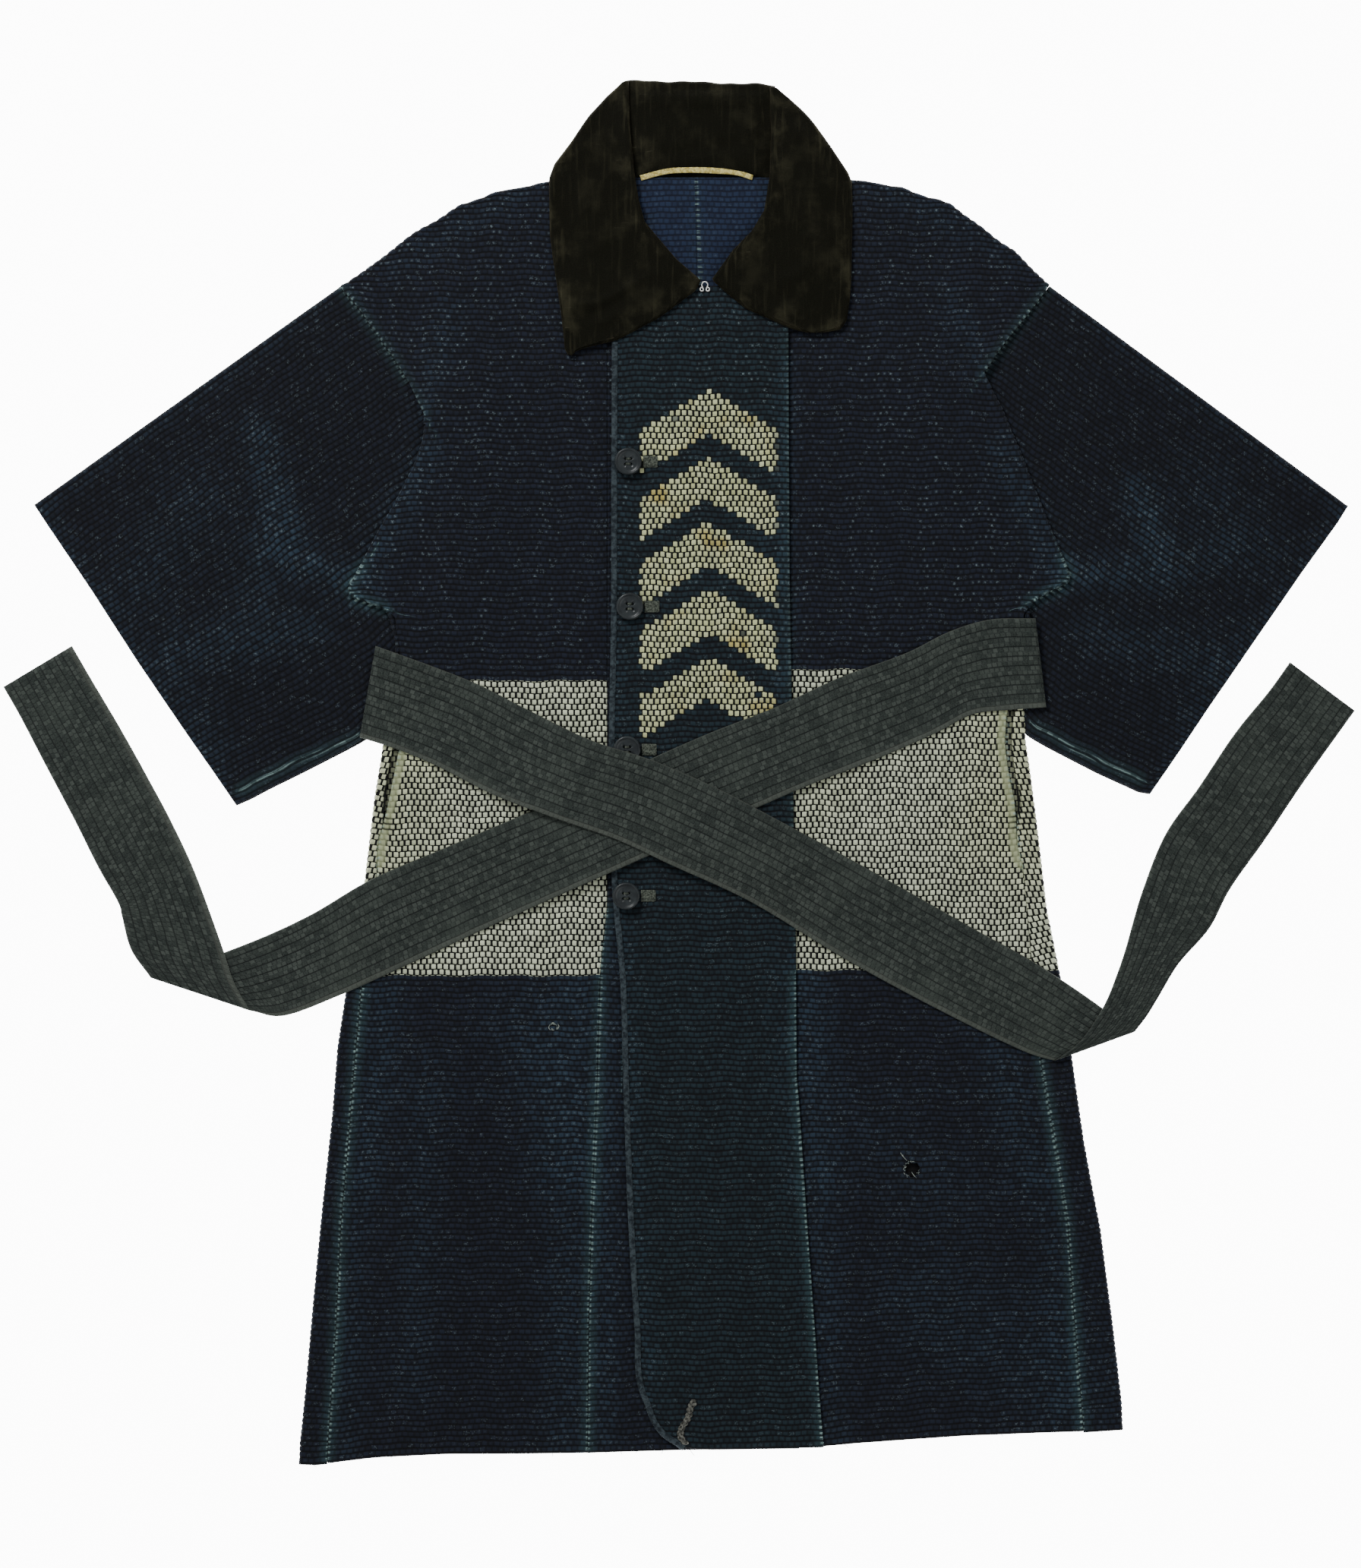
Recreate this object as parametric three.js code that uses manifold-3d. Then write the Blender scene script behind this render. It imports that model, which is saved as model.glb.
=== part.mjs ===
// A japanese fireman coat with its own belt, laid flat on a table with its front up.
// Millimetres. X runs to the viewer's right, Y to the collar, Z up from the table.
// Right and left in the names are the wearer's, so the right half of the coat has x below 0.
import * as THREE from "three";
import { mergeVertices } from "three/addons/utils/BufferGeometryUtils.js";
import Module from "manifold-3d";

const wasm = await Module();
wasm.setup();

// Driving dimensions
const CLOTH = 2.2; // ribbed body cloth
const VELVET = 2.4; // collar
const BELT = 1.8;
const TRIM = 1.0; // tape, binding and buttonhole stitching
const GAP = 0.3; // between pieces, at seams and between layers
const GRID = 34; // spacing of the points that all panels share
const HALF = 595; // the grid reaches this far from the origin each way
const FOLD = CLOTH + GAP / 2; // radius of a fold between two layers of cloth
const BELT_FOLD = BELT + GAP / 2;
const FLAT = 0.05; // faces this close to one plane are merged
const REACH = 3; // how far a fold's round edge may stand outside its panel

const HOLE = { x: 190, y: -324, radius: 5.9 };
const BUTTON = {
  radius: 11.15,
  thick: 3.4,
  foot: 0.8, // share of the radius that the flat underside reaches
  widest: 0.45, // share of the thickness at which the button is widest
  edge: 0.5,
  rim: 2.2,
  slope: 1,
  dish: 1.1,
  hole: 1.1,
  spread: 2.1,
};
const BUTTONS = [
  { y: 252.5, x: -41.3 },
  { y: 134.5, x: -40 },
  { y: 18, x: -42.3 },
  { y: -101, x: -43 },
];
const BUTTONHOLE = { gap: 0.9, length: 12, width: 9.5, depth: 0.5 };
// The bound front edge: its width, how far it stands out of the panel, and its two ends
const BINDING = { width: 5.5, out: 0.4, top: { x: -54, y: 350 }, end: { x: 14, y: -552.2 } };
// Side pocket slits: width by height, and how far the cut passes the seam
const SLIT = [
  { y: 44, width: 5.5 },
  { y: 20, width: 5.5 },
  { y: -10, width: 3.3 },
  { y: -43, width: 1 },
];
const SLIT_INSIDE = 0.4;
// Heights near the top of the slits: the back's edge wraps round below the first,
// the front's own side fold stops at the second, and its seam starts at the third
const WRAP_TOP = 62;
const WAIST_LOW = 59;
const SEAM_TOP = 64;
const ROWS = 7; // stitched rows along the belt
const ROW_DEPTH = 0.45;
const BELT_STEP = 32;

// Side edges and side seams of the body by height
const SIDES = [
  { y: 131, rightEdge: -242, rightSeam: -226, leftEdge: 285, leftSeam: 267 },
  { y: 102, rightEdge: -231, rightSeam: -215, leftEdge: 282, leftSeam: 266 },
  { y: 60, rightEdge: -237, rightSeam: -220, leftEdge: 281, leftSeam: 265 },
  { y: 20, rightEdge: -242, rightSeam: -228.5, leftEdge: 283.5, leftSeam: 265.6 },
  { y: -40, rightEdge: -251, rightSeam: -240.5, leftEdge: 292, leftSeam: 275 },
  { y: -90, rightEdge: -257, rightSeam: -246.5, leftEdge: 297, leftSeam: 280.5 },
  { y: -170, rightEdge: -270, rightSeam: -258, leftEdge: 312, leftSeam: 289 },
  { y: -240, rightEdge: -280, rightSeam: -264.5, leftEdge: 322, leftSeam: 295.7 },
  { y: -300, rightEdge: -285, rightSeam: -269.5, leftEdge: 330.5, leftSeam: 306.5 },
  { y: -370, rightEdge: -293, rightSeam: -275.5, leftEdge: 343.5, leftSeam: 317 },
  { y: -450, rightEdge: -301, rightSeam: -279.5, leftEdge: 353.5, leftSeam: 322.3 },
  { y: -530, rightEdge: -308.5, rightSeam: -285.3, leftEdge: 361.3, leftSeam: 328.8 },
  { y: -567, rightEdge: -310.5, rightSeam: -287, leftEdge: 363, leftSeam: 331 },
];

// Front edge and overlap seams by height; the left front lies over the right one
const FRONTS = [
  { y: 420, overEdge: -54, overSeam: 89, underSeam: -58.3, underEdge: 84 },
  { y: 160, overEdge: -54.5, overSeam: 90.2, underSeam: -58.3, underEdge: 84 },
  { y: -100, overEdge: -53.3, overSeam: 94.5, underSeam: -58.3, underEdge: 84 },
  { y: -160, overEdge: -48, overSeam: 95.4, underSeam: -63.8, underEdge: 84 },
  { y: -250, overEdge: -45, overSeam: 96, underSeam: -66.5, underEdge: 86 },
  { y: -375, overEdge: -40.3, overSeam: 105, underSeam: -71.4, underEdge: 90 },
  { y: -450, overEdge: -35.8, overSeam: 110.4, underSeam: -73.3, underEdge: 94 },
  { y: -507, overEdge: -31, overSeam: 114.3, underSeam: -74, underEdge: 98 },
];
// The rounded hem corner of the left front: where it bends, where it ends, and the seam beyond it
const CORNER = {
  start: { x: -31, y: -507 },
  bend: { x: -24, y: -549 },
  end: { x: 3, y: -553 },
  seam: { x: 118, y: -550.8 },
};
const FRONT_HEM = { right: { x: -74.3, y: -560 }, left: { x: 118, y: -551 } };
const UNDER_HEM = { seam: -74, edge: 100 }; // the lower overlap panel at the hem
const FRONT_TOP = 492;
// Panels run to these heights, and are cut to the hem and the neckline
const PAST_HEM = -575;
const PAST_NECK = 600;
const FOLD_HEM = -560; // the side folds end here

// Hem height by place along it
const HEM = [
  { x: -330, y: -565 },
  { x: -296, y: -565 },
  { x: -247, y: -559 },
  { x: -74, y: -556 },
  { x: 3, y: -553 },
  { x: 117, y: -550.5 },
  { x: 236, y: -541 },
  { x: 380, y: -536 },
];
const CENTRE_BACK = [
  { x: 14, y: 500 },
  { x: 21, y: -575 },
];

// Shoulder fold from the neck to the sleeve seam
const SHOULDER = [
  { rightX: -62, rightY: 486, leftX: 97, leftY: 486 },
  { rightX: -106, rightY: 481.5, leftX: 141.6, leftY: 483 },
  { rightX: -144.5, rightY: 474, leftX: 180, leftY: 477.5 },
  { rightX: -178.6, rightY: 462.8, leftX: 222.6, leftY: 462.8 },
  { rightX: -209, rightY: 444.2, leftX: 247, leftY: 444.2 },
  { rightX: -235.6, rightY: 425.6, leftX: 273.4, leftY: 425.6 },
  { rightX: -276.5, rightY: 396, leftX: 302.3, leftY: 396.5 },
];

// Sleeve seam from the shoulder to the armpit; its lower half is hidden under the front
const ARMHOLE = [
  { rightX: -276.5, rightY: 396, leftX: 302.3, leftY: 396.5 },
  { rightX: -254.8, rightY: 369, leftX: 282, leftY: 370.5 },
  { rightX: -233, rightY: 337.6, leftX: 248.3, leftY: 325.5 },
  { rightX: -207.5, rightY: 292, leftX: 238, leftY: 290 },
  { rightX: -203, rightY: 240, leftX: 240, leftY: 235 },
  { rightX: -214, rightY: 185, leftX: 258, leftY: 178 },
  { rightX: -242, rightY: 131, leftX: 287, leftY: 131 },
];

// Edge of the front where it folds out over the sleeve, down to the nub at the armpit
const PLEAT = [
  { rightX: -209, rightY: 272, leftX: 263.5, leftY: 296 },
  { rightX: -217.3, rightY: 246.5, leftX: 279, leftY: 259 },
  { rightX: -231.3, rightY: 221, leftX: 291.4, leftY: 228.5 },
  { rightX: -245, rightY: 197, leftX: 303.8, leftY: 197.5 },
  { rightX: -259, rightY: 169.6, leftX: 314, leftY: 172 },
  { rightX: -269.7, rightY: 149.7, leftX: 318.7, leftY: 159 },
];
const NUB = [
  { rightX: -269, rightY: 143.5, leftX: 317, leftY: 153.5 },
  { rightX: -262, rightY: 138.5, leftX: 307, leftY: 149 },
  { rightX: -245, rightY: 134.5, leftX: 291, leftY: 140 },
];
const PLEAT_RETURN = 30; // how far the folded cloth runs back under the front

// Sleeves from the body to the cuff: their top fold, and their underarm fold
const SLEEVE_TOP = [
  { rightX: -304.4, rightY: 369.8, leftX: 334.2, leftY: 369.8 },
  { rightX: -351.5, rightY: 332.6, leftX: 381.3, leftY: 332.6 },
  { rightX: -405.5, rightY: 295.4, leftX: 429, leftY: 295.4 },
  { rightX: -462.5, rightY: 258.2, leftX: 485.5, leftY: 258.2 },
  { rightX: -525.5, rightY: 218, leftX: 545.5, leftY: 217 },
];
const SLEEVE_LOW = [
  { rightX: -270.3, rightY: 17.5, leftX: 305, leftY: 17 },
  { rightX: -307.5, rightY: -1.5, leftX: 341, leftY: -1.5 },
  { rightX: -333, rightY: -14, leftX: 364, leftY: -12 },
  { rightX: -348, rightY: -22, leftX: 375, leftY: -17 },
  { rightX: -360.8, rightY: -27.6, leftX: 384, leftY: -18.3 },
];
// The sleeve's inner edge below the armpit, just outside the belt
const INNER_EDGE = [
  { rightX: -243, rightY: 128.5, leftX: 290.5, leftY: 127.5 },
  { rightX: -235, rightY: 106, leftX: 292, leftY: 126.5 },
  { rightX: -249, rightY: 104.5, leftX: 301, leftY: 50.5 },
  { rightX: -262.5, rightY: 26.5, leftX: 287, leftY: 49 },
  { rightX: -260, rightY: 24, leftX: 286, leftY: 28 },
];

// Neckline of the fronts, hidden under the collar
const NECK = [
  { rightX: -60, rightY: 490, leftX: 94, leftY: 490 },
  { rightX: -52, rightY: 460, leftX: 88, leftY: 452 },
  { rightX: -46, rightY: 440, leftX: 75, leftY: 430 },
  { rightX: -33, rightY: 420, leftX: 52, leftY: 407 },
  { rightX: -12, rightY: 402, leftX: 34, leftY: 394.5 },
  { rightX: 12, rightY: 393.5, leftX: 24, leftY: 393 },
];
const BACK_NECK = 487;

// Collar leaves by height: free outer edge and rolled inner edge
const LEAF_RIGHT = [
  { y: 563.5, outer: -46, inner: -41 },
  { y: 535, outer: -73.5, inner: -40 },
  { y: 510, outer: -91, inner: -38.3 },
  { y: 483, outer: -106, inner: -36 },
  { y: 457, outer: -105.6, inner: -31 },
  { y: 434, outer: -105, inner: -16.5 },
  { y: 417, outer: -102, inner: -2 },
  { y: 400, outer: -99.8, inner: 18 },
  { y: 393, outer: -99, inner: 14.5 },
  { y: 369.5, outer: -96, inner: -16 },
  { y: 352, outer: -94, inner: -49.5 },
  { y: 344, outer: -93.2, inner: -82 },
  { y: 339, outer: -90, inner: -87 },
];
const LEAF_LEFT = [
  { y: 560.5, outer: 84, inner: 76 },
  { y: 535, outer: 105.5, inner: 74.6 },
  { y: 510, outer: 123.5, inner: 74.8 },
  { y: 483, outer: 140, inner: 73.5 },
  { y: 457, outer: 141.3, inner: 69.3 },
  { y: 434, outer: 141.2, inner: 53 },
  { y: 417, outer: 140.8, inner: 38 },
  { y: 400, outer: 140.4, inner: 26.5 },
  { y: 385, outer: 139.2, inner: 45 },
  { y: 376.7, outer: 138.4, inner: 55 },
  { y: 367, outer: 136.8, inner: 77 },
  { y: 361, outer: 132.5, inner: 91 },
  { y: 357.6, outer: 124, inner: 108 },
];
const ROLL_ENDS = 8; // the rows above this number run along the rolled edge
const COLLAR_TOP = { rightX: -42, rightY: 565, leftX: 80, leftY: 561.5 };
// Lower edge of the collar behind the neck, and of its inner side
const FALL_EDGE = [
  { x: -101, y: 462 },
  { x: 136, y: 462 },
];
const STAND_EDGE = [
  { x: -32, y: 482.5 },
  { x: -9, y: 491 },
  { x: 31, y: 490.5 },
  { x: 69, y: 481.5 },
];
const COLLAR_ROWS = 4; // the leaves' rows beside the collar behind the neck
const COLLAR_INSET = { stand: 4, fold: 3, roll: 1 }; // how far its inner side stays clear of the leaves
// How far each round fold stops short of the ends of its line
const STOPS = { shoulder: 1.5, side: 1.5, pleat: 0.5, sleeveTop: 2.5, sleeveLow: 1, collar: 0, roll: 1 };

// The belt by section: its two edges
const BELT_BACK = [
  { ux: -249, uy: 102, lx: -262, ly: 28.5 },
  { ux: 20, uy: 113, lx: 20, ly: 40 },
  { ux: 291.5, uy: 124, lx: 300, ly: 53.5 },
];
const BELT_OVER = [
  { ux: -247, uy: 102.6, lx: -260, ly: 28 },
  { ux: -199, uy: 85.3, lx: -226, ly: 17 },
  { ux: -170, uy: 74, lx: -200, ly: 6 },
  { ux: -120, uy: 49, lx: -150, ly: -19 },
  { ux: -71, uy: 25.5, lx: -100, ly: -38 },
  { ux: -22, uy: 9.5, lx: -50, ly: -55.5 },
  { ux: 26, uy: -11, lx: -6, ly: -76 },
  { ux: 84, uy: -41, lx: 50, ly: -101.5 },
  { ux: 174.5, uy: -90.6, lx: 139.5, ly: -155 },
  { ux: 242, uy: -129, lx: 206, ly: -191 },
  { ux: 296, uy: -159.3, lx: 264, ly: -220 },
  { ux: 336, uy: -186, lx: 288, ly: -230.5 },
  { ux: 371, uy: -212, lx: 306, ly: -235.5 },
];
const BELT_UNDER = [
  { ux: 290, uy: 125, lx: 299, ly: 52.5 },
  { ux: 251.4, uy: 123.7, lx: 268, ly: 50.3 },
  { ux: 220.6, uy: 114.4, lx: 240, ly: 47 },
  { ux: 189.7, uy: 98.9, lx: 212, ly: 33 },
  { ux: 129.4, uy: 76.2, lx: 155, ly: 8 },
  { ux: 81.5, uy: 53.9, lx: 108, ly: -10 },
  { ux: 26, uy: 32, lx: 55, ly: -33 },
  { ux: -70, uy: -10.5, lx: -42, ly: -76 },
  { ux: -184.8, uy: -59.5, lx: -157, ly: -127.5 },
  { ux: -256.3, uy: -90.5, lx: -228, ly: -160.5 },
  { ux: -301.3, uy: -117, lx: -276, ly: -182 },
  { ux: -354.6, uy: -141, lx: -322, ly: -199 },
  { ux: -430.5, uy: -168.3, lx: -349.7, ly: -195 },
];
const TAIL_RIGHT = [
  { ux: -349.7, uy: -195, lx: -430.5, ly: -168.3 },
  { ux: -362.5, uy: -172, lx: -446.5, ly: -146 },
  { ux: -373, uy: -141, lx: -454, ly: -120 },
  { ux: -394, uy: -84, lx: -457.5, ly: -107 },
  { ux: -413, uy: -43, lx: -473.4, ly: -79 },
  { ux: -433, uy: -5.5, lx: -493, ly: -40 },
  { ux: -457, uy: 37.5, lx: -517.7, ly: 6.8 },
  { ux: -481, uy: 78, lx: -539.6, ly: 48.7 },
  { ux: -495.4, uy: 102.9, lx: -551.4, ly: 69.3 },
];
const TAIL_LEFT = [
  { ux: 306, uy: -235.5, lx: 371, ly: -212 },
  { ux: 325, uy: -221, lx: 381, ly: -199 },
  { ux: 344, uy: -194, lx: 391, ly: -183 },
  { ux: 358.5, uy: -160, lx: 405, ly: -160 },
  { ux: 378, uy: -97, lx: 434, ly: -126 },
  { ux: 395, uy: -54.5, lx: 449, ly: -97 },
  { ux: 424.5, uy: -12, lx: 478, ly: -55.8 },
  { ux: 454, uy: 32, lx: 507.5, ly: -11.8 },
  { ux: 485, uy: 70.5, lx: 536.9, ly: 29.5 },
  { ux: 498.5, uy: 89.6, lx: 551.6, ly: 49.9 },
];
const FOLD_CLEAR = BELT_FOLD + 0.4; // a strand stops this far before the fold that its tail turns in

// Neck tape, and the stitched loop at the hem corner
const TAPE = [
  { ux: -33, uy: 491, lx: -32, ly: 483.5 },
  { ux: -9, uy: 494.5, lx: -9, ly: 487 },
  { ux: 31, uy: 494, lx: 31, ly: 486.5 },
  { ux: 62, uy: 489.5, lx: 61, ly: 482 },
];
const HEM_LOOP = [
  { ux: 11.5, uy: -513.5, lx: 5, ly: -515 },
  { ux: 7.5, uy: -530, lx: 1, ly: -530 },
  { ux: 5, uy: -543, lx: -1, ly: -541 },
];

// Soft folds: ridges of each panel, high in the middle and gone at their width
const RIDGES = [
  { on: "sleeve_right", x1: -285, y1: 160, x2: -332, y2: 192, width: 34, height: 3.2 },
  { on: "sleeve_right", x1: -322, y1: 182, x2: -345, y2: 276, width: 38, height: 2.6 },
  { on: "sleeve_right", x1: -300, y1: 112, x2: -395, y2: 104, width: 36, height: 2.4 },
  { on: "sleeve_right", x1: -390, y1: 215, x2: -440, y2: 150, width: 44, height: 1.8 },
  { on: "sleeve_left", x1: 335, y1: 160, x2: 398, y2: 168, width: 34, height: 3.0 },
  { on: "sleeve_left", x1: 372, y1: 230, x2: 398, y2: 165, width: 36, height: 2.6 },
  { on: "sleeve_left", x1: 399, y1: 165, x2: 448, y2: 186, width: 36, height: 2.0 },
  { on: "sleeve_left", x1: 345, y1: 108, x2: 425, y2: 92, width: 38, height: 2.2 },
  { on: "front_right", x1: -186, y1: 378, x2: -204, y2: 300, width: 36, height: 3.4 },
  { on: "front_right", x1: -150, y1: 330, x2: -172, y2: 130, width: 44, height: 2.6 },
  { on: "front_right", x1: -205, y1: -230, x2: -218, y2: -520, width: 46, height: 2.4 },
  { on: "front_right", x1: -120, y1: -290, x2: -136, y2: -540, width: 42, height: 1.9 },
  { on: "front_left", x1: 222, y1: 388, x2: 246, y2: 322, width: 36, height: 3.4 },
  { on: "front_left", x1: 176, y1: 320, x2: 204, y2: 130, width: 44, height: 2.6 },
  { on: "front_left", x1: 216, y1: -240, x2: 248, y2: -520, width: 46, height: 2.6 },
  { on: "front_left", x1: 150, y1: -300, x2: 160, y2: -520, width: 40, height: 1.8 },
  { on: "overlap_left", x1: 22, y1: -180, x2: 40, y2: -480, width: 44, height: 1.6 },
  { on: "leaf_right", x1: -95, y1: 383, x2: -12, y2: 398, width: 26, height: 2.4 },
  { on: "leaf_left", x1: 60, y1: 400, x2: 128, y2: 408, width: 30, height: 2.0 },
];

// Materials
function finish(color, roughness, metalness = 0) {
  return () => new THREE.MeshStandardMaterial({ color, roughness, metalness });
}
const indigo = finish(0x1b2238, 0.95);
const velvet = finish(0x1c1512, 0.9);
const beltCotton = finish(0x2f3834, 0.92);
const buttonHorn = finish(0x23282b, 0.4);
const tapeYellow = finish(0xa3924c, 0.9);
const edging = finish(0x2b3b4a, 0.92);
const thread = finish(0x4a5348, 0.9);
const wire = finish(0xd8d8d2, 0.35, 0.8);

// Solids and meshes
function solidOf(geometry) {
  const bare = geometry.clone();
  bare.deleteAttribute("normal");
  bare.deleteAttribute("uv");
  const merged = mergeVertices(bare, 1e-4);
  return new wasm.Manifold(
    new wasm.Mesh({
      numProp: 3,
      vertProperties: new Float32Array(merged.attributes.position.array),
      triVerts: new Uint32Array(merged.index.array),
    }),
  );
}

function geometryOf(solid) {
  const mesh = solid.getMesh();
  const geometry = new THREE.BufferGeometry();
  geometry.setAttribute("position", new THREE.BufferAttribute(mesh.vertProperties, 3));
  geometry.setIndex(new THREE.BufferAttribute(mesh.triVerts, 1));
  geometry.computeVertexNormals();
  return geometry;
}

function named(name, solid, material) {
  const mesh = new THREE.Mesh(geometryOf(solid.simplify(FLAT)), material());
  mesh.name = name;
  return mesh;
}

function join(solids) {
  return solids.reduce((whole, solid) => whole.add(solid));
}

// A closed sheet with rows and columns of points, from its lower and upper points
function closedSheet(rows, columns, lower, upper) {
  const positions = [];
  for (const point of [lower, upper]) {
    for (let i = 0; i <= rows; i++) {
      for (let j = 0; j <= columns; j++) {
        positions.push(...point(i, j));
      }
    }
  }
  const side = (rows + 1) * (columns + 1);
  const at = (i, j, up) => up * side + i * (columns + 1) + j;
  const faces = [];
  const quad = (a, b, c, d) => faces.push(a, b, c, a, c, d);
  for (let i = 0; i < rows; i++) {
    for (let j = 0; j < columns; j++) {
      quad(at(i, j, 1), at(i + 1, j, 1), at(i + 1, j + 1, 1), at(i, j + 1, 1));
      faces.push(at(i, j, 0), at(i + 1, j + 1, 0), at(i + 1, j, 0));
      faces.push(at(i, j, 0), at(i, j + 1, 0), at(i + 1, j + 1, 0));
    }
  }
  for (let i = 0; i < rows; i++) {
    quad(at(i, 0, 0), at(i + 1, 0, 0), at(i + 1, 0, 1), at(i, 0, 1));
    quad(at(i + 1, columns, 0), at(i, columns, 0), at(i, columns, 1), at(i + 1, columns, 1));
  }
  for (let j = 0; j < columns; j++) {
    quad(at(0, j + 1, 0), at(0, j, 0), at(0, j, 1), at(0, j + 1, 1));
    quad(at(rows, j, 0), at(rows, j + 1, 0), at(rows, j + 1, 1), at(rows, j, 1));
  }
  const geometry = new THREE.BufferGeometry();
  geometry.setAttribute("position", new THREE.Float32BufferAttribute(positions, 3));
  geometry.setIndex(faces);
  const solid = solidOf(geometry);
  if (solid.volume() > 0) return solid;
  for (let f = 0; f < faces.length; f += 3) {
    [faces[f + 1], faces[f + 2]] = [faces[f + 2], faces[f + 1]];
  }
  geometry.setIndex(faces);
  return solidOf(geometry);
}

function prism(outline, low = -5, high = 60) {
  const shape = new THREE.Shape(outline.map(({ x, y }) => new THREE.Vector2(x, y)));
  const geometry = new THREE.ExtrudeGeometry(shape, { depth: high - low, bevelEnabled: false });
  return solidOf(geometry.translate(0, 0, low));
}

// A round bead along a line of {x, y, z} points
function bead(path, radius) {
  const section = new THREE.Shape();
  const sides = 8;
  for (let k = 0; k < sides; k++) {
    const angle = (k * 2 * Math.PI) / sides;
    const point = [radius * Math.cos(angle), radius * Math.sin(angle)];
    if (k === 0) section.moveTo(...point);
    else section.lineTo(...point);
  }
  const curve = new THREE.CatmullRomCurve3(path.map(({ x, y, z }) => new THREE.Vector3(x, y, z)));
  const steps = Math.max(2, Math.round(curve.getLength() / GRID) + path.length);
  return solidOf(
    new THREE.ExtrudeGeometry(section, { steps, extrudePath: curve, bevelEnabled: false }),
  );
}

// Outlines
function side(table, name) {
  return table.map((row) => ({ x: row[name + "X"], y: row[name + "Y"] }));
}

function column(table, name) {
  return table.map((row) => ({ x: row[name], y: row.y }));
}

function columnAt(table, name, y) {
  const next = table.findIndex((row) => row.y <= y);
  if (next <= 0) return table[0][name];
  const above = table[next - 1];
  const below = table[next];
  return above[name] + ((below[name] - above[name]) * (above.y - y)) / (above.y - below.y);
}

// A line moved sideways: positive to the left of its direction
function shifted(points, distance) {
  return points.map((point, k) => {
    const before = points[Math.max(k - 1, 0)];
    const after = points[Math.min(k + 1, points.length - 1)];
    const length = Math.hypot(after.x - before.x, after.y - before.y);
    const normalX = (before.y - after.y) / length;
    const normalY = (after.x - before.x) / length;
    return { x: point.x + normalX * distance, y: point.y + normalY * distance };
  });
}

function shortened(points, distance) {
  const out = points.map((point) => ({ ...point }));
  for (const [end, inner] of [[0, 1], [out.length - 1, out.length - 2]]) {
    const from = points[end];
    const to = points[inner];
    const share = distance / Math.hypot(to.x - from.x, to.y - from.y);
    out[end].x += (to.x - from.x) * share;
    out[end].y += (to.y - from.y) * share;
  }
  return out;
}

function inside(outline, x, y) {
  let found = false;
  for (let k = 0, last = outline.length - 1; k < outline.length; last = k++) {
    const a = outline[k];
    const b = outline[last];
    const crosses = a.y > y !== b.y > y;
    if (crosses && x < ((b.x - a.x) * (y - a.y)) / (b.y - a.y) + a.x) found = !found;
  }
  return found;
}

function nearOutline(outline, x, y) {
  return (
    inside(outline, x, y) ||
    inside(outline, x + REACH, y) ||
    inside(outline, x - REACH, y) ||
    inside(outline, x, y + REACH) ||
    inside(outline, x, y - REACH)
  );
}

// Panels on the shared grid
const CELLS = Math.round((2 * HALF) / GRID);
const NODES = CELLS + 1;
const place = (index) => index * GRID - HALF;

function cellsUnder(outline) {
  const cells = new Set();
  const add = (x, y) => {
    cells.add(Math.floor((x + HALF) / GRID) * CELLS + Math.floor((y + HALF) / GRID));
  };
  outline.forEach((from, k) => {
    const to = outline[(k + 1) % outline.length];
    const steps = Math.ceil(Math.hypot(to.x - from.x, to.y - from.y) / 2) + 1;
    for (let s = 0; s <= steps; s++) {
      const x = from.x + ((to.x - from.x) * s) / steps;
      const y = from.y + ((to.y - from.y) * s) / steps;
      for (const dx of [-REACH, 0, REACH]) {
        for (const dy of [-REACH, 0, REACH]) add(x + dx, y + dy);
      }
    }
  });
  for (let i = 0; i < CELLS; i++) {
    for (let j = 0; j < CELLS; j++) {
      const x = place(i + 0.5);
      const y = place(j + 0.5);
      if (inside(outline, x, y)) add(x, y);
    }
  }
  return cells;
}

function cornersOf(cell) {
  const first = Math.floor(cell / CELLS) * NODES + (cell % CELLS);
  return [first, first + 1, first + NODES, first + NODES + 1];
}

function ridgeHeight(ridge, x, y) {
  const dx = ridge.x2 - ridge.x1;
  const dy = ridge.y2 - ridge.y1;
  const along = ((x - ridge.x1) * dx + (y - ridge.y1) * dy) / (dx * dx + dy * dy);
  const share = Math.min(1, Math.max(0, along));
  const away = Math.hypot(x - ridge.x1 - share * dx, y - ridge.y1 - share * dy);
  return away > ridge.width ? 0 : ridge.height * Math.cos((away / ridge.width) * (Math.PI / 2));
}

// Raises points towards the mean of their neighbours, so a panel ramps softly over what it covers
function soften(heights, passes) {
  for (let pass = 0; pass < passes; pass++) {
    const before = heights.slice();
    for (let i = 1; i < CELLS; i++) {
      for (let j = 1; j < CELLS; j++) {
        const n = i * NODES + j;
        const mean = (before[n - 1] + before[n + 1] + before[n - NODES] + before[n + NODES]) / 4;
        heights[n] = Math.max(heights[n], mean);
      }
    }
  }
}

function panel(name, outline, thick, below = []) {
  const cells = cellsUnder(outline);
  const bottom = new Float64Array(NODES * NODES);
  for (const under of below) {
    for (const cell of cells) {
      if (!under.cells.has(cell)) continue;
      for (const n of cornersOf(cell)) {
        bottom[n] = Math.max(bottom[n], under.bottom[n] + under.thick + GAP);
      }
    }
  }
  if (below.length) soften(bottom, 2);
  for (const ridge of RIDGES.filter((row) => row.on === name)) {
    for (let n = 0; n < bottom.length; n++) {
      bottom[n] += ridgeHeight(ridge, place(Math.floor(n / NODES)), place(n % NODES));
    }
  }
  return { outline, thick, cells, bottom };
}

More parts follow.
